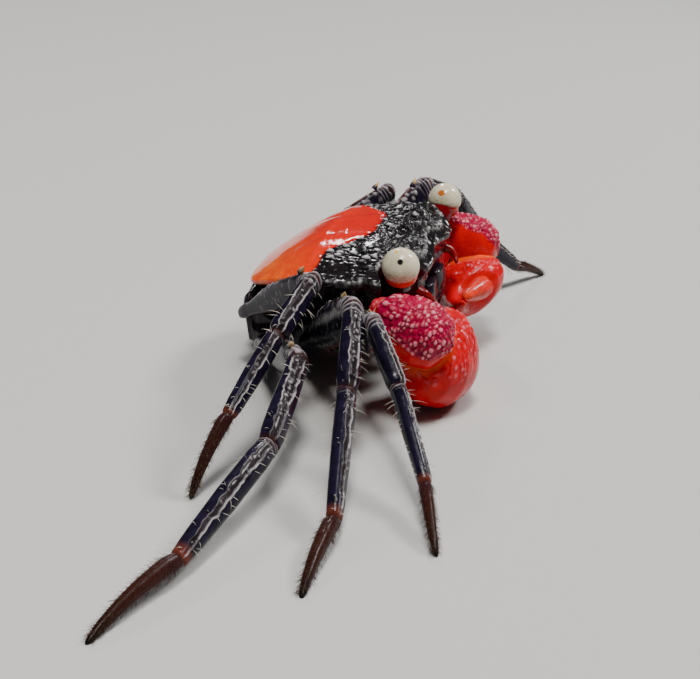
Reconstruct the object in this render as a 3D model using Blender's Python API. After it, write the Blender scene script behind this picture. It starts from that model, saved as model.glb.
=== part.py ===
"""Red devil vampire crab, life size, standing with its claws held in front of its face.

The crab faces -Y and its left side is +X. Lengths below are in millimetres and MM turns them into
metres. Body sizes are in the body's own frame, whose origin is at the highest point of the back;
the body then stands on its legs with its head raised and its right side lower.
"""
import math

import bmesh
import bpy
from mathutils import Matrix, Vector

MM = 0.001

# Stance of the body over the floor
STAND_HEIGHT = 9.2
HEAD_UP = math.radians(8.2)
RIGHT_SIDE_DOWN = math.radians(4.5)
BOX_MIDDLE = (0.06, -3.71)

# Clearance that touching pieces keep
GAP = 0.3

# Carapace
SHELL_HALF_WIDTH = 7.35
SHELL_MIDDLE_Y = -0.8
SHELL_BOTTOM_Z = -4.9
REAR_RISE = 1.5
FRONT_DROP = 1.5
REAR_DROP = 2.7
REAR_CURVE = 1.3
SIDE_DROP = 1.3
MARGIN = (
    (0.0, -6.95), (1.1, -7.1), (2.4, -7.35), (3.6, -7.2), (4.15, -6.65),
    (4.45, -5.7), (5.2, -5.05), (6.3, -4.85), (7.4, -5.3), (7.1, -4.3),
    (7.3, -3.7), (7.1, -2.0), (6.6, 0.0), (5.75, 1.8), (4.8, 3.1),
    (3.9, 4.0), (2.7, 4.5), (1.3, 4.7), (0.0, 4.7),
)
# Down the side wall: share of its height, then how far it is drawn in at the sides and at the front
SHELL_SIDE = ((0.08, -0.012, 0.0), (0.3, 0.07, 0.09), (0.62, 0.21, 0.12), (1.0, 0.36, 0.2))
MARGIN_STEPS = 2
SHELL_RINGS = 8

# Thorax, the block under the carapace that the legs spring from
THORAX_BOTTOM_Z = -7.5
THORAX_HALF_WIDTH = 4.0
THORAX_FRONT_Y = -5.0
THORAX_REAR_Y = 5.0
THORAX_SHELF_Z = -5.85
THORAX_SHELF = 0.4

# Eyes
CORNEA_RADIUS = 1.1
CORNEA_CENTRE = (6.3, -6.33, -0.6)
STALK_ROOT = (4.75, -5.95, -2.2)
STALK_ROOT_RADIUS = 0.6
STALK_END_RADIUS = 1.0

# Mouth plate down its height: z, y, x of its middle and half width
MOUTH_PLATE = (
    (-3.5, -6.7, 1.0, 0.9), (-4.3, -6.75, 1.3, 1.15), (-5.3, -6.55, 1.45, 1.25), (-6.3, -6.1, 1.45, 1.1),
    (-7.0, -5.6, 1.35, 0.8),
)
MOUTH_PLATE_HALF_THICK = 0.32

# Feeler, from beside the mouth outwards
FEELER = ((3.75, -6.6, -3.1), (3.85, -7.0, -3.3), (3.7, -7.3, -3.65), (3.35, -7.45, -4.0))
FEELER_ROOT_RADIUS = 0.34
FEELER_TIP_RADIUS = 0.12

# Tail flap, from the rear edge of the carapace under the thorax
FLAP = (
    (0, 4.9, -3.6), (0, 5.5, -4.6), (0, 5.6, -6.2), (0, 5.0, -7.6), (0, 3.4, -8.1), (0, 0.6, -8.15),
    (0, -1.6, -8.0),
)
FLAP_HALF_THICK = 0.3

# Walking legs: root on the thorax, lengths of merus, carpus, propodus and dactylus, and width scales of
# the leg and of its merus
LEGS = {
    "leg2": {"root": (4.3, -2.7, -6.4), "lengths": (7.9, 4.3, 6.2, 4.4), "size": 0.88, "blade": 0.88},
    "leg3": {"root": (4.3, 0.6, -6.4), "lengths": (10.0, 5.2, 7.9, 5.4), "size": 1.0, "blade": 1.0},
    "leg4": {"root": (4.3, 3.7, -6.55), "lengths": (11.2, 6.4, 9.0, 5.9), "size": 1.0, "blade": 0.95},
    "leg5": {"root": (3.9, 4.65, -4.35), "lengths": (9.2, 4.1, 6.0, 4.6), "size": 0.88, "blade": 0.66},
}
# Degrees for each segment: how far it swings forward, then how far it rises; the last one reaches the floor
POSES = {
    ("leg2", "right"): ((20, 36, 30, 21), (28, -30, -28)),
    ("leg3", "right"): ((32, 13, 12, 1), (31, -34, -28)),
    ("leg4", "right"): ((29, 4, -8, -16), (16, -19, -12)),
    ("leg5", "right"): ((46, -14, -9, -15), (28, -30, -28)),
    ("leg2", "left"): ((17, 28, 26, 26), (18, -16, -32)),
    ("leg3", "left"): ((27, 19, 15, 10), (38, -20, -38)),
    ("leg4", "left"): ((33, 12, -2, -12), (20, -22, -20)),
    ("leg5", "left"): ((43, -12, -9, -15), (29, -22, -36)),
}
LEG_LEAN = math.radians(16)
# Along each segment: fraction of its length, then half depth above and below its axis and half thickness
MERUS = (
    (0.0, 0.62, 0.62, 0.6), (0.07, 0.75, 0.75, 0.7), (0.13, 0.66, 0.66, 0.62), (0.26, 0.95, 0.85, 0.62),
    (0.45, 1.25, 1.1, 0.62), (0.65, 1.3, 1.15, 0.62), (0.85, 1.1, 0.95, 0.62), (1.0, 0.72, 0.7, 0.55),
)
CARPUS = (
    (0.0, 0.6, 0.55, 0.5), (0.18, 0.75, 0.6, 0.55), (0.6, 0.8, 0.7, 0.6), (0.88, 0.78, 0.7, 0.6),
    (1.0, 0.62, 0.6, 0.5),
)
PROPODUS = (
    (0.0, 0.55, 0.52, 0.45), (0.15, 0.72, 0.66, 0.52), (0.5, 0.72, 0.66, 0.5), (0.85, 0.6, 0.55, 0.45),
    (1.0, 0.45, 0.42, 0.4),
)
DACTYLUS = (
    (0.0, 0.4, 0.38, 0.36), (0.15, 0.46, 0.42, 0.38), (0.4, 0.38, 0.36, 0.34), (0.65, 0.31, 0.28, 0.28),
    (0.85, 0.25, 0.2, 0.22),
)
DACTYLUS_ARCH = 0.05
FOOT_RADIUS = 0.13

# Chelipeds
ARM_ROOT = (4.05, -4.6, -6.0)
# Elbow and knuckle, where the wrist starts and ends
WRISTS = {
    "right": ((7.7, -5.6, -3.1), (8.3, -9.3, -5.0)),
    "left": ((7.7, -5.6, -3.4), (8.3, -9.2, -5.4)),
}
# Each hand: where its heel is, how far it points forward of straight inward and down in degrees,
# its roll and its size
HANDS = {
    "right": {"heel": (8.2, -7.0, -6.1), "forward": 18, "down": 16, "roll": 0, "size": 1.0},
    "left": {"heel": (8.5, -6.6, -6.6), "forward": 20, "down": 1, "roll": 60, "size": 0.85},
}
HAND_LENGTH = 8.6
ARM = (
    (0.0, 0.8, 0.8, 0.8), (0.15, 0.95, 0.95, 0.9), (0.5, 1.25, 1.2, 1.05), (0.85, 1.3, 1.2, 1.1),
    (1.0, 0.95, 0.95, 0.9),
)
WRIST = (
    (0.0, 0.85, 0.85, 0.85), (0.12, 1.45, 1.35, 1.3), (0.35, 1.9, 1.75, 1.7), (0.62, 2.0, 1.9, 1.8),
    (0.85, 1.5, 1.6, 1.5), (0.96, 0.9, 1.0, 0.95), (1.0, 0.45, 0.5, 0.45),
)
# Along the hand: fraction of its length, drop of the ring's middle, half depth above and below,
# half thickness
HAND = (
    (0.0, 0.0, 0.9, 0.9, 0.9), (0.04, 0.0, 1.7, 1.7, 1.4), (0.14, 0.0, 2.5, 2.5, 1.95),
    (0.3, 0.0, 3.1, 2.9, 2.25), (0.46, 0.05, 3.1, 2.7, 2.1), (0.59, 0.35, 2.6, 2.1, 1.7),
    (0.66, 1.05, 1.3, 1.25, 1.3), (0.74, 1.35, 0.8, 0.8, 0.9), (0.86, 1.25, 0.55, 0.55, 0.6),
    (0.95, 0.9, 0.38, 0.38, 0.4), (1.0, 0.55, 0.18, 0.18, 0.18),
)
FINGERS_CURL = 1.3
FINGER_START = 0.6
FINGER = (
    (0.0, 0.6, 0.6, 0.6), (0.12, 1.05, 0.9, 0.85), (0.4, 0.95, 0.8, 0.75), (0.75, 0.62, 0.55, 0.5),
    (0.93, 0.36, 0.32, 0.34), (1.0, 0.14, 0.14, 0.15),
)
FINGER_RISE = 1.0
FINGER_TURN = 26
FINGER_LENGTH = 3.6
FINGER_DROOP = 24
# The exact solver can lose a claw's body where the grown cutter crosses itself
CLAW_SOLVER = "MANIFOLD"

COLOURS = {
    "carapace": (0.55, 0.06, 0.02), "thorax": (0.05, 0.02, 0.04), "leg": (0.04, 0.025, 0.06),
    "dactylus": (0.12, 0.03, 0.02), "claw": (0.62, 0.01, 0.015), "cornea": (0.78, 0.72, 0.55),
    "stalk": (0.4, 0.05, 0.01), "mouth": (0.07, 0.03, 0.05),
}


def clear_scene():
    for obj in list(bpy.data.objects):
        bpy.data.objects.remove(obj, do_unlink=True)


def material(kind):
    name = "crab_" + kind
    found = bpy.data.materials.get(name)
    if found:
        return found
    made = bpy.data.materials.new(name)
    made.use_nodes = True
    shader = made.node_tree.nodes["Principled BSDF"]
    shader.inputs["Base Color"].default_value = (*COLOURS[kind], 1.0)
    shader.inputs["Roughness"].default_value = 0.28
    shader.inputs["Metallic"].default_value = 0.0
    return made


def body_matrix():
    """Body frame to floor frame, in millimetres."""
    tilt = Matrix.Rotation(-RIGHT_SIDE_DOWN, 4, "Y") @ Matrix.Rotation(-HEAD_UP, 4, "X")
    return Matrix.Translation((-BOX_MIDDLE[0], -BOX_MIDDLE[1], STAND_HEIGHT)) @ tilt


BODY = body_matrix()


def on_body(point, side=1):
    return BODY @ Vector((side * point[0], point[1], point[2]))


def smooth(value):
    value = min(1.0, max(0.0, value))
    return value * value * (3.0 - 2.0 * value)


def spline(points, steps):
    """Points on a smooth curve through the given ones, with this many steps between neighbours."""
    points = [Vector(p) for p in points]
    last = len(points) - 1
    result = []
    for i in range(last):
        before = points[max(0, i - 1)]
        start, end = points[i], points[i + 1]
        after = points[min(last, i + 2)]
        for j in range(steps):
            t = j / steps
            result.append(0.5 * (2 * start + (end - before) * t
                                 + (2 * before - 5 * start + 4 * end - after) * t ** 2
                                 + (3 * start - before - 3 * end + after) * t ** 3))
    result.append(points[last])
    return result


def new_object(name, mesh, kind):
    mesh.materials.append(material(kind))
    mesh.shade_smooth()
    mesh.set_sharp_from_angle(angle=math.radians(50))
    obj = bpy.data.objects.new(name, mesh)
    bpy.context.scene.collection.objects.link(obj)
    return obj


def loft(name, rings, kind):
    """A closed body through rings of points in millimetres; each end closes on the middle of its ring."""
    shape = bmesh.new()
    rows = [[shape.verts.new(Vector(p) * MM) for p in ring] for ring in rings]
    count = len(rows[0])
    for low, high in zip(rows, rows[1:]):
        for i in range(count):
            j = (i + 1) % count
            shape.faces.new((low[i], low[j], high[j], high[i]))
    for row, turned in ((rows[0], True), (rows[-1], False)):
        middle = shape.verts.new(sum((v.co for v in row), Vector()) / count)
        for i in range(count):
            j = (i + 1) % count
            shape.faces.new((row[j], row[i], middle) if turned else (row[i], row[j], middle))
    bmesh.ops.recalc_face_normals(shape, faces=shape.faces)
    mesh = bpy.data.meshes.new(name)
    shape.to_mesh(mesh)
    shape.free()
    return new_object(name, mesh, kind)


def keep_largest(obj):
    """Drops all but the largest closed surface of the object."""
    shape = bmesh.new()
    shape.from_mesh(obj.data)
    left = set(shape.faces)
    parts = []
    while left:
        group = {left.pop()}
        edge_of_group = list(group)
        while edge_of_group:
            face = edge_of_group.pop()
            for edge in face.edges:
                for other in edge.link_faces:
                    if other in left:
                        left.discard(other)
                        group.add(other)
                        edge_of_group.append(other)
        parts.append(group)
    parts.sort(key=lambda group: sum(face.calc_area() for face in group))
    scraps = [face for group in parts[:-1] for face in group]
    bmesh.ops.delete(shape, geom=scraps, context="FACES")
    shape.to_mesh(obj.data)
    shape.free()


def apply_modifiers(obj):
    graph = bpy.context.evaluated_depsgraph_get()
    mesh = bpy.data.meshes.new_from_object(obj.evaluated_get(graph))
    obj.modifiers.clear()
    obj.data = mesh


def carve(obj, neighbour, clearance=GAP, solver="EXACT"):
    """Cuts the object back so that it stays this far from its neighbour."""
    cutter = bpy.data.objects.new("cutter", neighbour.data.copy())
    bpy.context.scene.collection.objects.link(cutter)
    shape = bmesh.new()
    shape.from_mesh(cutter.data)
    shape.normal_update()
    moves = [(v, v.normal * clearance * MM) for v in shape.verts]
    for vert, move in moves:
        vert.co += move
    shape.to_mesh(cutter.data)
    shape.free()
    cut = obj.modifiers.new("cut", "BOOLEAN")
    cut.operation = "DIFFERENCE"
    cut.solver = solver
    cut.object = cutter
    bpy.context.view_layer.update()
    apply_modifiers(obj)
    bpy.data.objects.remove(cutter, do_unlink=True)
    keep_largest(obj)


def carapace_top(x, y):
    """Height of the back over its own plan, in the body frame."""
    across = abs(x) / SHELL_HALF_WIDTH
    z = -SIDE_DROP * across ** 2.6
    z -= REAR_DROP * max(0.0, (y + 0.5) / 5.6) ** REAR_CURVE
    z -= FRONT_DROP * smooth((-y - 5.7) / 1.6) * smooth((5.2 - abs(x)) / 1.6)
    for lobe_x in (1.0, 3.0):
        z += 0.28 * math.exp(-((abs(x) - lobe_x) / 0.75) ** 2 - ((y + 5.7) / 0.55) ** 2)
    z -= 0.22 * math.exp(-(x / 0.35) ** 2 - ((y + 5.3) / 1.0) ** 2)
    groove = abs(x) - 2.1 - 0.25 * math.sin(y)
    z -= 0.2 * math.exp(-(groove / 0.4) ** 2 - ((y + 0.3) / 2.2) ** 2)
    z -= 0.12 * math.exp(-((y + 0.9 - 0.12 * x * x) / 0.4) ** 2 - (x / 2.4) ** 2)
    return z


def shell_bottom(y):
    return SHELL_BOTTOM_Z + REAR_RISE * smooth((y - 3.2) / 1.6)


def margin_loop():
    """The carapace's outline in plan, once round, from the middle of the front by the left side."""
    half = spline([(x, y, 0.0) for x, y in MARGIN], MARGIN_STEPS)
    return half + [Vector((-p.x, p.y, 0.0)) for p in reversed(half[1:-1])]


def carapace_rings():
    outline = margin_loop()
    middle = Vector((0.0, SHELL_MIDDLE_Y, 0.0))
    rings = []
    for k in range(1, SHELL_RINGS + 1):
        reach = (k / SHELL_RINGS) ** 0.8
        ring = []
        for p in outline:
            q = middle + (p - middle) * reach
            ring.append(Vector((q.x, q.y, carapace_top(q.x, q.y))))
        rings.append(ring)
    for depth, inward, front_inward in SHELL_SIDE:
        ring = []
        for p, edge in zip(outline, rings[SHELL_RINGS - 1]):
            front = smooth((-p.y - 5.6) / 1.0) * smooth((4.6 - abs(p.x)) / 0.6)
            pull = inward * (1 - front) + front_inward * front
            q = middle + (p - middle) * (1 - pull)
            ring.append(Vector((q.x, q.y, edge.z + (shell_bottom(q.y) - edge.z) * depth)))
        rings.append(ring)
    return [[on_body(p) for p in ring] for ring in rings]


def thorax_rings():
    rings = []
    steps = 9
    for i in range(steps + 1):
        t = i / steps
        y = THORAX_FRONT_Y + (THORAX_REAR_Y - THORAX_FRONT_Y) * t
        half = THORAX_HALF_WIDTH * (0.88 + 0.12 * smooth(t / 0.22)) - THORAX_SHELF * smooth((y - 4.4) / 0.4)
        upper = min(half, THORAX_HALF_WIDTH - THORAX_SHELF * smooth((y - 2.2) / 0.6))
        low = THORAX_BOTTOM_Z + 0.5 * smooth((0.2 - t) / 0.2) + 0.5 * smooth((y - 3.9) / 1.2)
        top = shell_bottom(y) - GAP - 0.5 * smooth((y - 4.5) / 0.7)
        profile = ((0.0, low), (0.45 * half, low + 0.03), (0.85 * half, low + 0.15), (half, low + 0.45),
                   (half, THORAX_SHELF_Z), (upper, THORAX_SHELF_Z + 0.5), (upper, top - 0.35),
                   (0.9 * upper, top), (0.0, top))
        right = [(x, z) for x, z in profile]
        left = [(-x, z) for x, z in reversed(profile[1:-1])]
        rings.append([on_body((x, y, z)) for x, z in right + left])
    return rings


def limb_rings(start, end, dorsal, profile, start_cut, end_cut, sides, power=0.8, gaps=(GAP / 2, GAP / 2)):
    """Rings of a limb between two joints.

    Its two ends lie on planes through the joints whose normals are the cuts, each set back by its gap.
    """
    axis = (end - start).normalized()
    length = (end - start).length
    up = (dorsal - axis * dorsal.dot(axis)).normalized()
    across = up.cross(axis)
    first = gaps[0] / axis.dot(start_cut)
    last = length - gaps[1] / axis.dot(end_cut)
    rings = []
    for fraction, above, below, thick in profile:
        along = first + (last - first) * fraction
        ring = []
        for k in range(sides):
            angle = 2 * math.pi * k / sides
            c, s = math.cos(angle), math.sin(angle)
            high = math.copysign(abs(c) ** power, c) * (above if c > 0 else below)
            wide = math.copysign(abs(s) ** power, s) * thick
            offset = up * high + across * wide
            near_start = max(0.0, 1 - fraction / 0.3) ** 2
            near_end = max(0.0, 1 - (1 - fraction) / 0.3) ** 2
            slide = -near_start * offset.dot(start_cut) / axis.dot(start_cut)
            slide -= near_end * offset.dot(end_cut) / axis.dot(end_cut)
            ring.append(start + axis * (along + slide) + offset)
        rings.append(ring)
    return rings


def dactylus_rings(start, end, dorsal, profile, start_cut, sides):
    """Rings of a leg's last segment, arched a little and ending in a small flat on the floor."""
    length = (end - start).length
    foot = (1.0, FOOT_RADIUS, FOOT_RADIUS, FOOT_RADIUS)
    rings = limb_rings(start, end, dorsal, [*profile, foot], start_cut, (end - start).normalized(), sides,
                       gaps=(GAP / 2, 0.0))
    for ring, row in zip(rings, profile):
        rise = DACTYLUS_ARCH * length * 4 * row[0] * (1 - row[0])
        for p in ring:
            p += dorsal.normalized() * rise
            p.z = max(p.z, 0.03)
    for k, p in enumerate(rings[-1]):
        angle = 2 * math.pi * k / sides
        flat = Vector((end.x - start.x, end.y - start.y, 0.0)).normalized()
        across = Vector((0, 0, 1)).cross(flat)
        p.xyz = end + (flat * math.cos(angle) + across * math.sin(angle)) * FOOT_RADIUS
        p.z = 0.0
    return rings


def scaled(profile, size):
    return [(row[0], *(value * size for value in row[1:])) for row in profile]


def leg_direction(side, forward, rise):
    forward, rise = math.radians(forward), math.radians(rise)
    flat = math.cos(rise)
    return Vector((side * math.cos(forward) * flat, -math.sin(forward) * flat, math.sin(rise)))


def leg_joints(leg, side_name):
    """The root, the three joints and the tip of a walking leg, in the floor frame."""
    side = -1 if side_name == "right" else 1
    swings, rises = POSES[leg, side_name]
    lengths = LEGS[leg]["lengths"]
    points = [on_body(LEGS[leg]["root"], side)]
    for length, swing, rise in zip(lengths, swings, rises):
        points.append(points[-1] + leg_direction(side, swing, rise) * length)
    last_rise = -math.degrees(math.asin(points[-1].z / lengths[3]))
    points.append(points[-1] + leg_direction(side, swings[3], last_rise) * lengths[3])
    return points


def walking_leg(leg, side_name):
    side = -1 if side_name == "right" else 1
    points = leg_joints(leg, side_name)
    axes = [(b - a).normalized() for a, b in zip(points, points[1:])]
    outward = (BODY.to_3x3() @ Vector((side, 0, 0))).normalized()
    cuts = [outward]
    for a, b in zip(axes, axes[1:]):
        cuts.append((a + b).normalized())
    size = LEGS[leg]["size"]
    pieces = (("merus", MERUS, 10, "leg"), ("carpus", CARPUS, 8, "leg"),
              ("propodus", PROPODUS, 8, "leg"), ("dactylus", DACTYLUS, 6, "dactylus"))
    for i, (part, profile, sides, kind) in enumerate(pieces):
        plane = axes[i].cross(Vector((0, 0, 1))).normalized()
        upright = plane.cross(axes[i])
        dorsal = upright * math.cos(LEG_LEAN) + Vector((0, 1, 0)) * math.sin(LEG_LEAN)
        if part == "merus":
            profile = scaled(profile, LEGS[leg]["blade"] / size)
        if part == "dactylus":
            rings = dactylus_rings(points[i], points[i + 1], dorsal, scaled(profile, size), cuts[i], sides)
        else:
            rings = limb_rings(points[i], points[i + 1], dorsal, scaled(profile, size), cuts[i], cuts[i + 1],
                               sides, gaps=(0.0 if i == 0 else GAP / 2, GAP / 2))
        loft(f"{leg}_{part}_{side_name}", rings, kind)


def hand_direction(side_name):
    side = -1 if side_name == "right" else 1
    down = math.radians(HANDS[side_name]["down"])
    forward = math.radians(HANDS[side_name]["forward"])
    flat = math.cos(down)
    local = Vector((-side * math.cos(forward) * flat, -math.sin(forward) * flat, -math.sin(down)))
    return (BODY.to_3x3() @ local).normalized()


def cheliped(side_name, thorax, carapace):
    side = -1 if side_name == "right" else 1
    up = (BODY.to_3x3() @ Vector((0, 0, 1))).normalized()
    root = on_body(ARM_ROOT, side)
    elbow, wrist_end = (on_body(place, side) for place in WRISTS[side_name])
    outward = (BODY.to_3x3() @ Vector((side, 0, 0))).normalized()
    arm_axis = (elbow - root).normalized()
    wrist_axis = (wrist_end - elbow).normalized()
    bend = (arm_axis + wrist_axis).normalized()
    arm = loft(f"cheliped_merus_{side_name}",
               limb_rings(root, elbow, up, ARM, outward, bend, 10, gaps=(0.0, GAP / 2)), "claw")
    wrist = loft(f"cheliped_carpus_{side_name}",
                 limb_rings(elbow, wrist_end, up, WRIST, bend, wrist_axis, 14, 0.95,
                            gaps=(GAP / 2, 0.0)), "claw")
    carve(wrist, arm, 1.4 * GAP, CLAW_SOLVER)
    for neighbour in (carapace, thorax, bpy.data.objects[f"leg2_merus_{side_name}"]):
        carve(arm, neighbour, 1.2 * GAP, CLAW_SOLVER)
        carve(wrist, neighbour, 1.2 * GAP, CLAW_SOLVER)
    size = HANDS[side_name]["size"]
    heel = on_body(HANDS[side_name]["heel"], side)
    axis = hand_direction(side_name)
    high = (up - axis * up.dot(axis)).normalized()
    across = high.cross(axis)
    inner = across if across.y > 0 else -across
    roll = math.radians(HANDS[side_name]["roll"])
    high, inner = (high * math.cos(roll) - inner * math.sin(roll),
                   inner * math.cos(roll) + high * math.sin(roll))
    rings = []
    for fraction, drop, above, below, half_thick in HAND:
        curl = FINGERS_CURL * max(0.0, (fraction - 0.5) / 0.5) ** 1.6
        centre = heel + (axis * HAND_LENGTH * fraction - high * drop + inner * curl) * size
        ring = []
        for k in range(16):
            angle = 2 * math.pi * k / 16
            height = math.cos(angle) * (above if math.cos(angle) > 0 else below)
            ring.append(centre + (high * height + inner * math.sin(angle) * half_thick) * size)
        rings.append(ring)
    hand = loft(f"cheliped_palm_{side_name}", rings, "claw")
    carve(hand, wrist, 1.2 * GAP, CLAW_SOLVER)
    carve(hand, arm, 1.2 * GAP, CLAW_SOLVER)
    aside = inner * math.tan(math.radians(FINGER_TURN)) - high * math.tan(math.radians(FINGER_DROOP))
    finger_axis = (axis + aside).normalized()
    base = heel + (axis * HAND_LENGTH * FINGER_START + high * FINGER_RISE) * size
    finger = loft(f"cheliped_finger_{side_name}",
                  limb_rings(base, base + finger_axis * FINGER_LENGTH * size, high, scaled(FINGER, size),
                             finger_axis, finger_axis, 10, gaps=(0.0, 0.0)), "claw")
    carve(finger, hand, 1.2 * GAP, CLAW_SOLVER)
    return arm, wrist, hand, finger


def eye(side_name, carapace):
    side = -1 if side_name == "right" else 1
    centre = on_body(CORNEA_CENTRE, side)
    root = on_body(STALK_ROOT, side)
    ball = bmesh.new()
    bmesh.ops.create_uvsphere(ball, u_segments=16, v_segments=10, radius=CORNEA_RADIUS * MM)
    mesh = bpy.data.meshes.new("cornea")
    ball.to_mesh(mesh)
    ball.free()
    mesh.transform(Matrix.Translation(centre * MM))
    cornea = new_object(f"cornea_{side_name}", mesh, "cornea")
    axis = (centre - root).normalized()
    profile = ((0.0, STALK_ROOT_RADIUS), (0.35, STALK_ROOT_RADIUS + 0.1), (0.7, STALK_END_RADIUS - 0.1),
               (1.0, STALK_END_RADIUS))
    rows = [(fraction, radius, radius, radius) for fraction, radius in profile]
    stalk = loft(f"eyestalk_{side_name}",
                 limb_rings(root, centre, Vector((0, 0, 1)), rows, axis, axis, 12, 1.0,
                            gaps=(0.0, 0.0)), "stalk")
    carve(stalk, cornea)
    carve(stalk, carapace)
    carve(cornea, carapace)


def maxilliped(side_name, carapace, thorax):
    """The third maxilliped, a flat plate that closes the mouth on its side."""
    side = -1 if side_name == "right" else 1
    rings = []
    for z, y, middle, half in MOUTH_PLATE:
        ring = []
        for k in range(10):
            angle = 2 * math.pi * k / 10
            x = middle + GAP / 2 + half * math.cos(angle)
            ring.append(on_body((x, y + MOUTH_PLATE_HALF_THICK * math.sin(angle), z), side))
        rings.append(ring)
    plate = loft(f"maxilliped_{side_name}", rings, "mouth")
    carve(plate, carapace)
    carve(plate, thorax)


def antenna(side_name, carapace, stalk_name):
    side = -1 if side_name == "right" else 1
    route = spline(FEELER, 2)
    points = [on_body(p, side) for p in route]
    last = len(points) - 1
    rings = []
    for i, p in enumerate(points):
        ahead = (points[min(last, i + 1)] - points[max(0, i - 1)]).normalized()
        up = Vector((0, 0, 1))
        up = (up - ahead * up.dot(ahead)).normalized()
        across = up.cross(ahead)
        radius = FEELER_ROOT_RADIUS + (FEELER_TIP_RADIUS - FEELER_ROOT_RADIUS) * i / last
        rings.append([p + (up * math.cos(a) + across * math.sin(a)) * radius
                      for a in (2 * math.pi * k / 6 for k in range(6))])
    feeler = loft(f"antenna_{side_name}", rings, "mouth")
    carve(feeler, carapace)
    carve(feeler, bpy.data.objects[stalk_name])


def pleon(thorax, carapace):
    """The tail flap, folded under the thorax from the rear edge of the carapace."""
    route = spline(FLAP, 2)
    last = len(route) - 1
    rings = []
    for i, p in enumerate(route):
        ahead = (route[min(last, i + 1)] - route[max(0, i - 1)]).normalized()
        thick = Vector((1, 0, 0)).cross(ahead)
        share = i / last
        half = 1.75 - 0.3 * smooth(share / 0.5) - 0.95 * smooth((share - 0.45) / 0.55)
        ring = []
        for k in range(10):
            angle = 2 * math.pi * k / 10
            q = p + Vector((1, 0, 0)) * half * math.cos(angle) + thick * FLAP_HALF_THICK * math.sin(angle)
            ring.append(on_body(q))
        rings.append(ring)
    flap = loft("pleon", rings, "thorax")
    carve(flap, thorax, 1.4 * GAP)
    carve(flap, carapace)


def build():
    clear_scene()
    carapace = loft("carapace", carapace_rings(), "carapace")
    thorax = loft("thorax", thorax_rings(), "thorax")
    pleon(thorax, carapace)
    for side_name in ("right", "left"):
        for leg in LEGS:
            walking_leg(leg, side_name)
        carve(bpy.data.objects[f"leg5_merus_{side_name}"], carapace)
        cheliped(side_name, thorax, carapace)
        eye(side_name, carapace)
        maxilliped(side_name, carapace, thorax)
        antenna(side_name, carapace, f"eyestalk_{side_name}")


build()
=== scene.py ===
"""The looks of a red devil vampire crab, life size, standing with its claws held in front of its face.

The crab faces -Y and its left side is +X. Lengths are in millimetres in the body's own frame, and are
turned to metres when a mesh is made. Relief is modelled on the meshes; finer grain is in the materials.
"""
import math
import random

import bpy
import numpy as np
from mathutils import Matrix, Vector


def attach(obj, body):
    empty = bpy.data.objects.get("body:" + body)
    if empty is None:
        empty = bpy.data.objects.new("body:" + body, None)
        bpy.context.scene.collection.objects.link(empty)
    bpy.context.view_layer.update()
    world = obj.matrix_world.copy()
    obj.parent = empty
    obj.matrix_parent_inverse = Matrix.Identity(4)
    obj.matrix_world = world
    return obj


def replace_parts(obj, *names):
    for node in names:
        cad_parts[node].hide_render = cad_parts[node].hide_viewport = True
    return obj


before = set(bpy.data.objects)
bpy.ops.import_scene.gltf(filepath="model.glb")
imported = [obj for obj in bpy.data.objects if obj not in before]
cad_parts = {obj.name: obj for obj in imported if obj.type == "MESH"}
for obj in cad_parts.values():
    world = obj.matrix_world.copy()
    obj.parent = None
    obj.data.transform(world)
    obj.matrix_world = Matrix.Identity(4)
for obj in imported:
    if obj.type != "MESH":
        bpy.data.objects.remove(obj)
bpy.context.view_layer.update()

MM = 0.001
RNG = random.Random(11)
SIGNS = {"right": -1, "left": 1}

# Stance of the body over the floor, as in the solid
STAND_HEIGHT = 9.2
HEAD_UP = math.radians(8.2)
RIGHT_SIDE_DOWN = math.radians(4.5)
BOX_MIDDLE = (0.06, -3.71)

# Camera of the photograph
CAMERA_PLACE = (-70.06, -16.39, 29.7)
CAMERA_TURN = (68.7, -2.65, -74.4)
CAMERA_LENS = 60.79

# Carapace
SHELL_HALF_WIDTH = 7.35
SHELL_MIDDLE_Y = -0.8
SHELL_BOTTOM_Z = -4.9
REAR_RISE = 1.5
FRONT_DROP = 1.5
REAR_DROP = 2.7
REAR_CURVE = 1.3
SIDE_DROP = 1.3
# Left half of the outline seen from above, from the middle of the front to the middle of the rear
MARGIN = (
    (0.0, -6.95), (1.1, -7.1), (2.4, -7.35), (3.6, -7.2), (4.15, -6.65),
    (4.45, -5.7), (5.2, -5.05), (6.3, -4.85), (7.4, -5.3), (7.1, -4.3),
    (7.3, -3.7), (7.1, -2.0), (6.6, 0.0), (5.75, 1.8), (4.8, 3.1),
    (3.9, 4.0), (2.7, 4.5), (1.3, 4.7), (0.0, 4.7),
)
# Down the side wall: share of its height, then how far it is drawn in at the sides and at the front
SHELL_SIDE = ((0.08, -0.012, 0.0), (0.3, 0.07, 0.09), (0.62, 0.21, 0.12), (1.0, 0.36, 0.2))
TOP_ROWS = 170
WALL_ROWS = 60
# Front border of the orange patch, on the middle line and at the sides
BORDER_MIDDLE_Y = -3.6
BORDER_SIDE_Y = -1.05
# Lobes of the front, the cleft between them, and the shallow grooves of the back
LOBES_X = (1.0, 3.0)
LOBE_HEIGHT = 0.28
CLEFT_DEPTH = 0.22
GROOVE_WIDTH = 0.45
SIDE_GROOVE_DEPTH = 0.06
CROSS_GROOVE_DEPTH = 0.04
# How far the marks of the black front stand proud
SCALE_HEIGHT = 0.14
SPECK_HEIGHT = 0.012
SWELL_HEIGHT = 0.14
FURROW_HEIGHT = 0.12
FURROW_SPACING = 0.75
SIDE_BEAD_HEIGHT = 0.08
FRONT_BEAD_HEIGHT = 0.13

# Thorax, the block under the carapace that the legs spring from
THORAX_BOTTOM_Z = -7.5
THORAX_HALF_WIDTH = 4.0
THORAX_FRONT_Y = -5.0
THORAX_REAR_Y = 5.0
THORAX_SHELF_Z = -5.85
THORAX_SHELF = 0.4

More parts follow.
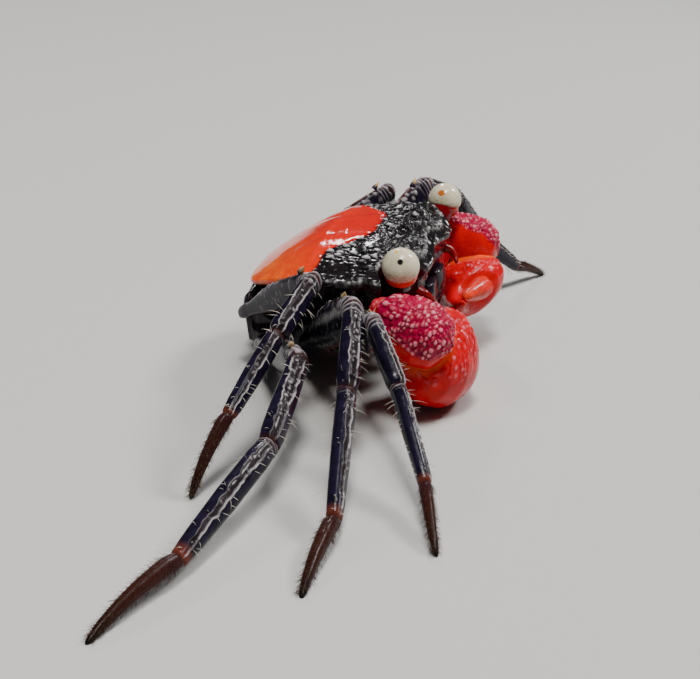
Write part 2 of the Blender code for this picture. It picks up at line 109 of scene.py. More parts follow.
# Eyes
CORNEA_RADIUS = 1.1
CORNEA_CENTRE = (6.3, -6.33, -0.6)
STALK_ROOT = (4.75, -5.95, -2.2)
# The orange cup under the eye: height of its upper edge, as a share of the radius, and how far it swells
CUP_EDGE = -0.4
CUP_SWELL = 0.14
STALK = ((0.0, 0.6, 0.6, 0.6), (0.35, 0.62, 0.62, 0.62), (0.7, 0.75, 0.75, 0.75), (1.0, 0.85, 0.85, 0.85))

# Mouth plate down its height: z, y, x of its middle and half width
MOUTH_PLATE = (
    (-3.5, -6.7, 1.0, 0.9), (-4.3, -6.75, 1.3, 1.15), (-5.3, -6.55, 1.45, 1.25), (-6.3, -6.1, 1.45, 1.1),
    (-7.0, -5.6, 1.35, 0.8),
)
MOUTH_PLATE_HALF_THICK = 0.32

# Feeler, from beside the mouth outwards
FEELER = ((3.75, -6.6, -3.1), (3.85, -7.0, -3.3), (3.7, -7.3, -3.65), (3.35, -7.45, -4.0))
FEELER_ROOT_RADIUS = 0.34
FEELER_TIP_RADIUS = 0.12

# Tail flap, from the rear edge of the carapace under the thorax
FLAP = (
    (0, 4.9, -3.6), (0, 5.5, -4.6), (0, 5.6, -6.2), (0, 5.0, -7.6), (0, 3.4, -8.1), (0, 0.6, -8.15),
    (0, -1.6, -8.0),
)
FLAP_HALF_THICK = 0.2
# How much thicker each of its segments is at its middle
FLAP_SWELL = 0.1

# Walking legs: root on the thorax, lengths of merus, carpus, propodus and dactylus, and width scales of
# the leg and of its merus
LEGS = {
    "leg2": {"root": (4.3, -2.7, -6.4), "lengths": (7.9, 4.3, 6.2, 4.4), "size": 0.88, "blade": 0.88},
    "leg3": {"root": (4.3, 0.6, -6.4), "lengths": (10.0, 5.2, 7.9, 5.4), "size": 1.0, "blade": 1.0},
    "leg4": {"root": (4.3, 3.7, -6.55), "lengths": (11.2, 6.4, 9.0, 5.9), "size": 1.0, "blade": 0.95},
    "leg5": {"root": (3.9, 4.65, -4.35), "lengths": (9.2, 4.1, 6.0, 4.6), "size": 0.88, "blade": 0.66},
}
# Degrees for each segment: how far it swings forward, then how far it rises; the last one reaches the floor
POSES = {
    ("leg2", "right"): ((20, 36, 30, 21), (28, -30, -28)),
    ("leg3", "right"): ((32, 13, 12, 1), (31, -34, -28)),
    ("leg4", "right"): ((29, 4, -8, -16), (16, -19, -12)),
    ("leg5", "right"): ((46, -14, -9, -15), (28, -30, -28)),
    ("leg2", "left"): ((17, 28, 26, 26), (18, -16, -32)),
    ("leg3", "left"): ((27, 19, 15, 10), (38, -20, -38)),
    ("leg4", "left"): ((33, 12, -2, -12), (20, -22, -20)),
    ("leg5", "left"): ((43, -12, -9, -15), (29, -22, -36)),
}
LEG_LEAN = math.radians(16)
# Along each segment: fraction of its length, then half depth above and below its axis and half thickness
MERUS = (
    (0.0, 0.62, 0.62, 0.6), (0.07, 0.75, 0.75, 0.7), (0.13, 0.66, 0.66, 0.62), (0.26, 0.95, 0.85, 0.62),
    (0.45, 1.25, 1.1, 0.62), (0.65, 1.3, 1.15, 0.62), (0.85, 1.1, 0.95, 0.62), (1.0, 0.72, 0.7, 0.55),
)
CARPUS = (
    (0.0, 0.6, 0.55, 0.5), (0.18, 0.75, 0.6, 0.55), (0.6, 0.8, 0.7, 0.6), (0.88, 0.78, 0.7, 0.6),
    (1.0, 0.62, 0.6, 0.5),
)
PROPODUS = (
    (0.0, 0.55, 0.52, 0.45), (0.15, 0.72, 0.66, 0.52), (0.5, 0.72, 0.66, 0.5), (0.85, 0.6, 0.55, 0.45),
    (1.0, 0.45, 0.42, 0.4),
)
DACTYLUS = (
    (0.0, 0.4, 0.38, 0.36), (0.15, 0.46, 0.42, 0.38), (0.4, 0.38, 0.36, 0.34), (0.65, 0.31, 0.28, 0.28),
    (0.85, 0.25, 0.2, 0.22), (1.0, 0.13, 0.13, 0.13),
)
DACTYLUS_ARCH = 0.05
# Each segment of a leg, its profile, and how many rings its skin has with how many points round each
LEG_PIECES = (
    ("merus", MERUS, 200, 88), ("carpus", CARPUS, 130, 110), ("propodus", PROPODUS, 170, 110),
    ("dactylus", DACTYLUS, 70, 36),
)
# How far the marks of the legs stand proud
LEG_LINE_HEIGHT = 0.08
LEG_LINE_WIDTHS = (0.05, 0.055)
LEG_SCALE_HEIGHT = 0.06
LEG_FACE_DEPTH = 0.045
KEEL_HEIGHTS = (0.07, 0.05)
KNEE_RING_HEIGHT = 0.08
KNEE_RING_SPACING = 0.27

# Chelipeds
ARM_ROOT = (4.05, -4.6, -6.0)
# Elbow and knuckle, where the wrist starts and ends
WRISTS = {
    "right": ((7.7, -5.6, -3.1), (8.3, -9.3, -5.0)),
    "left": ((7.7, -5.6, -3.4), (8.3, -9.2, -5.4)),
}
# Each hand: where its heel is, how far it points forward of straight inward and down in degrees,
# its roll and its size
HANDS = {
    "right": {"heel": (8.2, -7.0, -6.1), "forward": 18, "down": 16, "roll": 0, "size": 1.0},
    "left": {"heel": (8.5, -6.6, -6.6), "forward": 20, "down": 1, "roll": 60, "size": 0.85},
}
HAND_LENGTH = 8.6
ARM = (
    (0.0, 0.8, 0.8, 0.8), (0.15, 0.95, 0.95, 0.9), (0.5, 1.25, 1.2, 1.05), (0.85, 1.3, 1.2, 1.1),
    (1.0, 0.95, 0.95, 0.9),
)
WRIST = (
    (0.0, 0.85, 0.85, 0.85), (0.12, 1.45, 1.35, 1.3), (0.35, 1.9, 1.75, 1.7), (0.62, 2.0, 1.9, 1.8),
    (0.85, 1.5, 1.6, 1.5), (0.96, 0.9, 1.0, 0.95), (1.0, 0.45, 0.5, 0.45),
)
# Along the hand: fraction of its length, drop of the ring's middle, half depth above and below,
# half thickness
HAND = (
    (0.0, 0.0, 0.9, 0.9, 0.9), (0.04, 0.0, 1.7, 1.7, 1.4), (0.14, 0.0, 2.5, 2.5, 1.95),
    (0.3, 0.0, 3.1, 2.9, 2.25), (0.46, 0.05, 3.1, 2.7, 2.1), (0.59, 0.35, 2.6, 2.1, 1.7),
    (0.66, 1.05, 1.3, 1.25, 1.3), (0.74, 1.35, 0.8, 0.8, 0.9), (0.86, 1.25, 0.55, 0.55, 0.6),
    (0.95, 0.9, 0.38, 0.38, 0.4), (1.0, 0.55, 0.18, 0.18, 0.18),
)
# How far the tips of both fingers curl inwards
FINGERS_CURL = 1.3
# The moving finger: where it starts along the palm and above its axis, and its degrees inwards and down
FINGER_START = 0.6
FINGER_RISE = 1.0
FINGER_TURN = 26
FINGER_DROOP = 24
FINGER_LENGTH = 3.6
FINGER = (
    (0.0, 0.6, 0.6, 0.6), (0.12, 1.05, 0.9, 0.85), (0.4, 0.95, 0.8, 0.75), (0.75, 0.62, 0.55, 0.5),
    (0.93, 0.36, 0.32, 0.34), (1.0, 0.14, 0.14, 0.15),
)
# How far the grains of each segment stand proud, and how large those of the palm are
ARM_GRAINS = 0.05
WRIST_GRAINS = 0.17
PALM_GRAINS = 0.1
PALM_GRAIN_SIZE = (0.34, 0.36, 0.36)
FINGER_GRAINS = 0.04
PALM_WRINKLES = 0.06
# Faces of the wrist that point up and outwards less than this have no grains
WRIST_BARE = 0.3
# Soft folds of the elbow
FOLD_COUNT = 4
FOLDS_RADIUS = 1.12
FOLDS_LENGTH = 1.1
FOLD_HEIGHT = 0.09

# Finest grain of every skin, in metres
GRAIN_DEPTH = 0.00002

# Stage, in metres. Each light: place, height that it is turned to, size, watts and colour
FLOOR_REACH = 1.5
FLOOR_COLOUR = (0.5, 0.49, 0.47, 1.0)
WORLD_COLOUR = (0.82, 0.86, 0.92, 1.0)
WORLD_STRENGTH = 0.07
LIGHTS = {
    "softbox": ((-0.10, -0.15, 0.95), 0.0, 0.4, 4.4, (0.97, 0.98, 1.0)),
    "key": ((-0.14, -0.03, 0.42), 0.005, 0.08, 1.5, (1.0, 0.98, 0.95)),
    "back": ((0.43, 0.19, 0.34), 0.005, 0.06, 0.8, (1.0, 1.0, 1.0)),
    "front": ((0.26, -0.30, 0.42), 0.005, 0.12, 2.4, (1.0, 1.0, 1.0)),
}


# Frames and small helpers

TILT = Matrix.Rotation(-RIGHT_SIDE_DOWN, 4, "Y") @ Matrix.Rotation(-HEAD_UP, 4, "X")
BODY = np.array(Matrix.Translation((-BOX_MIDDLE[0], -BOX_MIDDLE[1], STAND_HEIGHT)) @ TILT)
BODY_TURN = BODY[:3, :3]


def vec(*values):
    return np.array(values, float)


def unit(v):
    v = np.asarray(v, float)
    return v / np.linalg.norm(v, axis=-1, keepdims=True)


def heading(*direction):
    """Unit vector over the floor for a direction in the body's frame."""
    return unit(BODY_TURN @ vec(*direction))


def on_body(points, sign=1):
    points = np.asarray(points, float) * (sign, 1, 1)
    return points @ BODY_TURN.T + BODY[:3, 3]


def smooth(value):
    value = np.clip(value, 0.0, 1.0)
    return value * value * (3.0 - 2.0 * value)


def climb(value, start, width):
    """0 up to the start and 1 from this far past it."""
    return smooth((value - start) / width)


def bell(value, width):
    return np.exp(-(np.asarray(value) / width) ** 2)


def dome(distance, radius):
    """1 at a distance of 0, and 0 from the radius on."""
    return np.clip(1 - (distance / radius) ** 2, 0, 1)


def turn(count):
    """Evenly spaced angles once round."""
    return np.linspace(0, 2 * math.pi, count, endpoint=False)


def circle(angle, first, second):
    """Points round a unit circle in the plane of two directions."""
    return np.outer(np.cos(angle), first) + np.outer(np.sin(angle), second)


def spline(points, steps):
    """A smooth curve through the points, with this many steps from each to the next."""
    points = np.asarray(points, float)
    last = len(points) - 1
    result = []
    for i in range(last):
        before, start, end, after = (points[max(0, min(last, k))] for k in range(i - 1, i + 3))
        for j in range(steps):
            t = j / steps
            square = (2 * before - 5 * start + 4 * end - after) * t ** 2
            cube = (3 * start - before - 3 * end + after) * t ** 3
            result.append(0.5 * (2 * start + (end - before) * t + square + cube))
    result.append(points[last])
    return np.array(result)


# Solid noise, the same on every run

def lattice(ix, iy, iz, seed):
    """A number between 0 and 1 for each point of a lattice, scrambled by large odd factors."""
    h = np.uint32(seed * 3266489917 % 4294967296)
    for place, factor in ((ix, 374761393), (iy, 668265263), (iz, 2246822519)):
        h = h + place.astype(np.uint32) * np.uint32(factor)
    for shift, factor in ((13, 1274126177), (15, 2654435761)):
        h = (h ^ (h >> np.uint32(shift))) * np.uint32(factor)
    return (h ^ (h >> np.uint32(16))).astype(float) / 4294967295.0


def noise(points, size, seed=0, octaves=2):
    """Smooth noise between -1 and 1 with features of about this size."""
    total, weight = 0.0, 0.0
    for octave in range(octaves):
        q = points / size * 2 ** octave + 1000.0
        cell = np.floor(q).astype(np.int64)
        part = smooth(q - cell)
        value = 0.0
        for corner in np.ndindex(2, 2, 2):
            x, y, z = np.moveaxis(np.where(corner, part, 1 - part), -1, 0)
            value += x * y * z * lattice(*np.moveaxis(cell + corner, -1, 0), seed + octave)
        total += (2 * value - 1) * 0.5 ** octave
        weight += 0.5 ** octave
    return total / weight


def cells(points, size, seed=0):
    """Distance to the nearest and next of scattered points, and a random number for the nearest."""
    q = points / np.asarray(size) + 1000.0
    cell = np.floor(q).astype(np.int64)
    first = np.full(q.shape[:-1], 9.0)
    second = first.copy()
    label = 0 * first
    for step in np.ndindex(3, 3, 3):
        at = np.moveaxis(cell + step - 1, -1, 0)
        spot = np.stack([at[k] + lattice(*at, seed + k) for k in range(3)], -1)
        gap = np.linalg.norm(q - spot, axis=-1)
        closer = gap < first
        second = np.where(closer, first, np.minimum(second, gap))
        label = np.where(closer, lattice(*at, seed + 3), label)
        first = np.where(closer, gap, first)
    return first, second, label


# Meshes

def grid_turn(grid):
    """Unit cross products over a grid that closes round its columns, and whether they point inwards."""
    cross = np.cross(np.gradient(grid, axis=0), np.roll(grid, -1, 1) - np.roll(grid, 1, 1))
    cross = cross / np.maximum(np.linalg.norm(cross, axis=-1, keepdims=True), 1e-12)
    return cross, (cross * (grid - grid.mean(1, keepdims=True))).sum() <= 0


def grid_normals(grid):
    """Outward normals of such a grid."""
    cross, inwards = grid_turn(grid)
    return -cross if inwards else cross


def add_object(name, data):
    obj = bpy.data.objects.new(name, data)
    bpy.context.scene.collection.objects.link(obj)
    return obj


def make_object(name, verts, faces, look, fields=None, uv=None):
    mesh = bpy.data.meshes.new(name)
    mesh.from_pydata((np.asarray(verts) * MM).tolist(), [], faces)
    mesh.validate()
    mesh.update()
    mesh.shade_smooth()
    for key, values in (fields or {}).items():
        layer = mesh.attributes.new(key, "FLOAT", "POINT")
        layer.data.foreach_set("value", np.asarray(values, np.float32).ravel())
    if uv is not None:
        layer = mesh.uv_layers.new(name="OFBake")
        loops = np.empty(len(mesh.loops), np.int32)
        mesh.loops.foreach_get("vertex_index", loops)
        layer.data.foreach_set("uv", np.asarray(uv, np.float32)[loops].ravel())
    obj = add_object(name, mesh)
    slot, material = LOOKS[look]
    mesh.materials.append(material)
    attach(obj, "root")
    return obj


def skin(name, grid, look, fields=None):
    """A closed body from rings of points; its two ends close on their middles."""
    rows, cols = grid.shape[:2]
    verts = np.concatenate([grid.reshape(-1, 3), grid[:1].mean(1), grid[-1:].mean(1)])
    _, turned = grid_turn(grid)
    i, j = np.meshgrid(np.arange(rows - 1), np.arange(cols), indexing="ij")
    k = (j + 1) % cols
    quads = np.stack([i * cols + j, (i + 1) * cols + j, (i + 1) * cols + k, i * cols + k], -1)
    j, k = j[0], k[0]
    low = np.stack([0 * j + rows * cols, j, k], -1)
    high = np.stack([0 * j + rows * cols + 1, (rows - 1) * cols + k, (rows - 1) * cols + j], -1)
    faces = []
    for part in (quads.reshape(-1, 4), low, high):
        faces += (part[:, ::-1] if turned else part).tolist()
    full = {}
    for key, values in (fields or {}).items():
        values = np.broadcast_to(values, (rows, cols))
        full[key] = np.concatenate([values.ravel(), [values[0].mean()], [values[-1].mean()]])
    return make_object(name, verts, faces, look, full)


def cover(name, stand_in, grid, relief, look, fields=None):
    """A skin that stands this far proud of its rings and takes the place of a solid."""
    grid = grid + grid_normals(grid) * np.asarray(relief)[..., None]
    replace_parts(skin(name, grid, look, fields), stand_in)


def interpolate(profile, fractions):
    """Profile columns at these fractions, rounded a little at their corners."""
    profile = np.asarray(profile, float)
    dense = np.linspace(0, 1, 401)
    columns = []
    for column in profile[:, 1:].T:
        values = np.interp(dense, profile[:, 0], column)
        padded = np.concatenate([np.full(20, values[0]), values, np.full(20, values[-1])])
        kernel = np.exp(-np.linspace(-2, 2, 41) ** 2)
        values = np.convolve(padded, kernel / kernel.sum(), "valid")
        columns.append(np.interp(fractions, dense, values))
    return columns


def rounded(share):
    """Width of a rounded end, from nearly 0 at its tip to 1 where the share reaches 1."""
    return np.sqrt(np.clip(1 - (1 - np.clip(share, 0, 1)) ** 2, 0.0004, 1))


def limb(start, end, dorsal, profile, start_cut, end_cut, rows, sides, power=0.8, reach=(0.0, 0.0),
         round_off=0.3, arch=0.0):
    """Fine rings of a limb, and for each point its share of the length, angle and place in the limb.

    The angle is 0 on the dorsal line and grows towards the front of the crab on either side. The place
    is given along the axis, above it and in front of it. The dorsal direction comes last.
    """
    axis = unit(end - start)
    length = np.linalg.norm(end - start)
    up = unit(dorsal - axis * dorsal.dot(axis))
    front = np.cross(up, axis)
    if front[1] > 0:
        front = -front
    first = -reach[0] / axis.dot(start_cut)
    last = length + reach[1] / axis.dot(end_cut)
    u = np.linspace(0, 1, rows)
    ease = 0.5 - 0.5 * np.cos(math.pi * u)
    u = 0.55 * u + 0.45 * ease
    along = first + (last - first) * u
    fraction = np.clip(u, 0, 1)
    above, below, thick = interpolate(profile, fraction)
    cap = rounded(np.minimum(along - first, last - along) / round_off)
    angle = turn(sides)
    c, s = np.cos(angle), np.sin(angle)
    high = np.sign(c) * np.abs(c) ** power
    wide = np.sign(s) * np.abs(s) ** power
    size_up = np.where(c > 0, above[:, None], below[:, None]) * high * cap[:, None]
    size_out = thick[:, None] * wide * cap[:, None]
    offset = size_up[..., None] * up + size_out[..., None] * front
    slide = 0.0
    for cut, left in ((start_cut, fraction), (end_cut, 1 - fraction)):
        near = np.clip(1 - left / 0.3, 0, 1)[:, None] ** 2
        slide = slide - near * (offset @ cut) / axis.dot(cut)
    lift = arch * length * 4 * fraction * (1 - fraction)
    grid = start + axis * (along[:, None] + slide)[..., None] + offset + up * lift[:, None, None]
    along, angle = (np.broadcast_to(value, size_up.shape) for value in (along[:, None], angle))
    return grid, along / length, angle, np.stack([along, size_up, size_out], -1), up


def angle_gap(angle, centre):
    return (angle - centre + math.pi) % (2 * math.pi) - math.pi


# Materials

def shade(name, build):
    """A material; what builds it sets the shader up and may give back its colour."""
    made = bpy.data.materials.new(name)
    made.use_nodes = True
    tree = made.node_tree
    shader = tree.nodes["Principled BSDF"]
    colour = build(tree, shader)
    if colour is not None:
        tree.links.new(colour, shader.inputs["Base Color"])
    return made


def node(tree, kind, **settings):
    made = tree.nodes.new(kind)
    for key, value in settings.items():
        if key in made.inputs:
            made.inputs[key].default_value = value
        else:
            setattr(made, key, value)
    return made


def field(tree, name):
    return node(tree, "ShaderNodeAttribute", attribute_name=name).outputs["Fac"]


def place(tree):
    return tree.nodes.new("ShaderNodeTexCoord").outputs["Object"]


def noise_map(tree, scale, detail=3.0, roughness=0.6):
    made = node(tree, "ShaderNodeTexNoise", Scale=scale, Detail=detail, Roughness=roughness)
    tree.links.new(place(tree), made.inputs["Vector"])
    return made.outputs["Fac"]


def ramp(tree, source, stops):
    made = tree.nodes.new("ShaderNodeValToRGB")
    band = made.color_ramp
    while len(band.elements) < len(stops):
        band.elements.new(0.5)
    for element, (position, colour) in zip(band.elements, stops):
        element.position = position
        element.color = (*colour, 1.0)
    tree.links.new(source, made.inputs["Fac"])
    return made.outputs["Color"]


def feed(tree, socket, value):
    """Set a socket to a number or a colour, or link another to it."""
    if isinstance(value, bpy.types.NodeSocket):
        tree.links.new(value, socket)
    else:
        socket.default_value = (*value, 1.0) if isinstance(value, tuple) else value


def mix(tree, amount, low, high):
    made = node(tree, "ShaderNodeMix", data_type="RGBA")
    for socket, value in ((0, amount), (6, low), (7, high)):
        feed(tree, made.inputs[socket], value)
    return made.outputs[2]


def layers(tree, colour, *fields):
    """Colours laid over this one, each as far as its field says."""
    for name, over in fields:
        colour = mix(tree, field(tree, name), colour, over)
    return colour


def calc(tree, kind, a, b, clamp=False):
    made = node(tree, "ShaderNodeMath", operation=kind, use_clamp=clamp)
    feed(tree, made.inputs[0], a)
    feed(tree, made.inputs[1], b)
    return made.outputs[0]


def grain(tree, shader, scale=6000, strength=0.3, detail=3.0, roughness=0.6):
    """The finest relief, in the shading only."""
    made = node(tree, "ShaderNodeBump", Strength=strength, Distance=GRAIN_DEPTH)
    tree.links.new(noise_map(tree, scale, detail, roughness), made.inputs["Height"])
    tree.links.new(made.outputs["Normal"], shader.inputs["Normal"])


def set_shader(shader, **values):
    for key, value in values.items():
        shader.inputs[key.replace("_", " ")].default_value = value


def wet(shader, roughness, specular):
    set_shader(shader, Roughness=roughness, Specular_IOR_Level=specular)


def carapace_look(tree, shader):
    rearward = field(tree, "rearward")
    mottle = ramp(tree, noise_map(tree, 1100, 4.0, 0.65), [(0.38, (0, 0, 0)), (0.68, (1, 1, 1))])
    warm = ramp(tree, rearward, [
        (0.0, (0.6, 0.004, 0.002)), (0.45, (0.7, 0.012, 0.002)), (0.75, (0.8, 0.05, 0.001)),
        (1.0, (0.88, 0.13, 0.002))])
    deep = ramp(tree, rearward, [(0.0, (0.5, 0.002, 0.002)), (1.0, (0.75, 0.035, 0.002))])
    warm = mix(tree, mottle, warm, deep)
    dark = ramp(tree, noise_map(tree, 1400, 4.0, 0.6), [
        (0.35, (0.004, 0.0035, 0.004)), (0.75, (0.02, 0.014, 0.016))])
    wet(shader, 0.15, 0.22)
    smoother = calc(tree, "MULTIPLY", field(tree, "patch"), 0.08)
    tree.links.new(calc(tree, "SUBTRACT", 0.16, smoother), shader.inputs["Roughness"])
    grain(tree, shader, 5000, 0.2, 2.0, 0.5)
    # The crest colour is a painted highlight, pale on the scales and beads of the black front
    return layers(tree, dark, ("pale_crest_and_highlight", (0.62, 0.61, 0.6)), ("plum", (0.06, 0.006, 0.02)), ("patch", warm))


def leg_look(tree, shader):
    mottle = noise_map(tree, 1500, 4.0, 0.6)
    face = ramp(tree, mottle, [(0.3, (0.004, 0.003, 0.007)), (0.7, (0.013, 0.009, 0.026))])
    strip = ramp(tree, mottle, [(0.3, (0.008, 0.006, 0.008)), (0.7, (0.034, 0.025, 0.028))])
    wet(shader, 0.2, 0.12)
    grain(tree, shader, 7000)
    # The crest colour is partly the carinae's own paler colour and partly painted highlight
    return layers(tree, face, ("strip", strip), ("rim", (0.13, 0.03, 0.016)), ("pale_crest_and_highlight", (0.5, 0.46, 0.47)),
                  ("pale", (0.6, 0.42, 0.2)))


def along_look(stops, roughness, specular, scale=6000, strength=0.3):
    """A look whose colour changes along the piece."""
    def build(tree, shader):
        wet(shader, roughness, specular)
        grain(tree, shader, scale, strength)
        return ramp(tree, field(tree, "along"), stops)
    return build


def claw_look(tree, shader):
    mottle = noise_map(tree, 1100, 4.0, 0.6)
    red = ramp(tree, mottle, [
        (0.25, (0.4, 0.0, 0.002)), (0.55, (0.6, 0.0, 0.003)), (0.8, (0.7, 0.004, 0.005))])
    purple = ramp(tree, mottle, [(0.3, (0.24, 0.0, 0.026)), (0.7, (0.42, 0.004, 0.05))])
    wet(shader, 0.16, 0.16)
    set_shader(shader, Subsurface_Weight=0.06, Subsurface_Radius=(1.0, 0.05, 0.03), Subsurface_Scale=0.0004)
    grain(tree, shader, 5000)
    # Painted glow where light shines through the thin shell, and painted glints, pinkish white, on the tops
    # of the grains
    return layers(tree, red, ("outer", purple), ("glow", (0.8, 0.075, 0.006)), ("pale_crest_and_highlight", (0.9, 0.38, 0.44)))


def cornea_look(tree, shader):
    speckle = node(tree, "ShaderNodeTexVoronoi", Scale=7500.0)
    tree.links.new(place(tree), speckle.inputs["Vector"])
    dots = calc(tree, "LESS_THAN", speckle.outputs["Distance"], 0.42)
    patches = ramp(tree, noise_map(tree, 1900, 3.0), [(0.36, (0.12, 0.12, 0.12)), (0.66, (0.9, 0.9, 0.9))])
    spread = calc(tree, "ADD", calc(tree, "MULTIPLY", field(tree, "low"), 0.75), 0.2, True)
    thick = calc(tree, "MULTIPLY", calc(tree, "MULTIPLY", dots, patches), spread)
    cream = ramp(tree, noise_map(tree, 900, 3.0), [(0.3, (0.56, 0.5, 0.33)), (0.7, (0.74, 0.68, 0.5))])
    colour = mix(tree, thick, cream, (0.13, 0.115, 0.09))
    gold = layers(tree, (0.7, 0.42, 0.03), ("inner", (0.5, 0.13, 0.02)))
    cup = layers(tree, (0.72, 0.03, 0.002), ("inner", (0.2, 0.002, 0.004)))
    wet(shader, 0.1, 0.4)
    return layers(tree, colour, ("spot", (0.012, 0.012, 0.012)), ("gold", gold), ("band", cup))


def plain_look(low, high, scale=900, roughness=0.2, specular=0.25):
    """A mottled look between two colours."""
    def build(tree, shader):
        wet(shader, roughness, specular)
        grain(tree, shader)
        return ramp(tree, noise_map(tree, scale, 4.0, 0.6), [(0.3, low), (0.7, high)])
    return build


def bristle_look(low, high):
    return plain_look(low, high, 2000, 0.4, 0.3)


DACTYLUS_STOPS = (
    (0.0, (0.03, 0.009, 0.009)), (0.3, (0.034, 0.009, 0.006)), (0.8, (0.024, 0.008, 0.005)),
    (0.95, (0.01, 0.006, 0.004)),
)
STALK_STOPS = (
    (0.0, (0.02, 0.004, 0.006)), (0.4, (0.08, 0.003, 0.005)), (0.8, (0.2, 0.002, 0.006)),
    (1.0, (0.3, 0.004, 0.006)),
)
# Each look: the slot that it belongs to, and its material
LOOKS = {
    "carapace": ("carapace", shade("shell_black_and_orange", carapace_look)),
    "leg": ("leg", shade("leg_dark_indigo", leg_look)),
    "dactylus": ("leg_tip", shade("leg_tip_brown", along_look(DACTYLUS_STOPS, 0.3, 0.12, 8000, 0.4))),
    "claw": ("claw", shade("claw_red", claw_look)),
    "cornea": ("cornea", shade("eye_cream", cornea_look)),
    "stalk": ("eyestalk", shade("eyestalk_red", along_look(STALK_STOPS, 0.15, 0.25))),
    "under": ("underside", shade("underside_dark", plain_look((0.005, 0.004, 0.007), (0.022, 0.012, 0.02)))),
    "feeler": ("underside", shade("feeler_deep_red", plain_look((0.12, 0.002, 0.004), (0.26, 0.006, 0.008)))),
    "elbow": ("claw", shade("elbow_fold_pink", plain_look((0.42, 0.09, 0.07), (0.66, 0.34, 0.28), 2200))),
    "bristle": ("leg", shade("bristle_pale", bristle_look((0.55, 0.5, 0.42), (0.75, 0.7, 0.62)))),
    "dark_bristle": (
        "leg_tip", shade("bristle_brown", bristle_look((0.03, 0.012, 0.008), (0.09, 0.04, 0.025)))),
}


# Carapace

def carapace_top(x, y):
    across = np.abs(x) / SHELL_HALF_WIDTH
    z = -SIDE_DROP * across ** 2.6
    z -= REAR_DROP * np.maximum(0.0, (y + 0.5) / 5.6) ** REAR_CURVE
    z -= FRONT_DROP * climb(-y, 5.7, 1.6) * smooth((5.2 - np.abs(x)) / 1.6)
    for lobe_x in LOBES_X:
        z += LOBE_HEIGHT * bell(np.abs(x) - lobe_x, 0.75) * bell(y + 5.7, 0.55)
    z -= CLEFT_DEPTH * bell(x, 0.35) * bell(y + 5.3, 1.0)
    groove = np.abs(x) - 2.1 - 0.25 * np.sin(y)
    z -= SIDE_GROOVE_DEPTH * bell(groove, GROOVE_WIDTH) * bell(y + 0.3, 2.2)
    return z - CROSS_GROOVE_DEPTH * bell(y + 0.9 - 0.12 * x * x, GROOVE_WIDTH) * bell(x, 2.4)


def shell_bottom(y):
    return SHELL_BOTTOM_Z + REAR_RISE * climb(y, 3.2, 1.6)


def resample(loop, count):
    """Evenly spaced points round a closed loop."""
    closed = np.vstack([loop, loop[:1]])
    run = np.concatenate([[0], np.cumsum(np.linalg.norm(np.diff(closed, axis=0), axis=1))])
    at = np.linspace(0, run[-1], count, endpoint=False)
    return np.stack([np.interp(at, run, closed[:, k]) for k in range(closed.shape[1])], -1)


def shell_rings():
    """Fine rings of the carapace in the body's frame, and how far out and down each point lies.

    That number runs from 0 at the middle of the back to 1 at its margin and 2 at the lower edge.
    """
    half = spline(MARGIN, 10)
    outline = resample(np.vstack([half, half[-2:0:-1] * (-1, 1)]), 760)
    middle = vec(0.0, SHELL_MIDDLE_Y)
    rings, kinds = [], []
    for reach in np.linspace(0, 1, TOP_ROWS + 1)[1:] ** 0.85:
        q = middle + (outline - middle) * reach
        rings.append(np.column_stack([q, carapace_top(q[:, 0], q[:, 1])]))
        kinds.append(np.full(len(q), reach))
    edge = rings[-1]
    wall = np.array(((0.0, 0.0, 0.0), *SHELL_SIDE))
    front = smooth((-outline[:, 1] - 5.6) / 1.0) * smooth((4.6 - np.abs(outline[:, 0])) / 0.6)
    for depth in np.linspace(0, 1, WALL_ROWS + 1)[1:]:
        inward, front_inward = (np.interp(depth, wall[:, 0], wall[:, k]) for k in (1, 2))
        pull = inward * (1 - front) + front_inward * front
        q = middle + (outline - middle) * (1 - pull)[:, None]
        low = shell_bottom(q[:, 1])
        rings.append(np.column_stack([q, edge[:, 2] + (low - edge[:, 2]) * depth]))
        kinds.append(np.full(len(q), 1 + depth))
    return np.array(rings), np.array(kinds), front[None, :]


def orange_border(x):
    """How far forward the orange of the back reaches, as a y, at this distance from the middle."""
    return BORDER_MIDDLE_Y + (BORDER_SIDE_Y - BORDER_MIDDLE_Y) * smooth((np.abs(x) - 1.2) / 3.9)


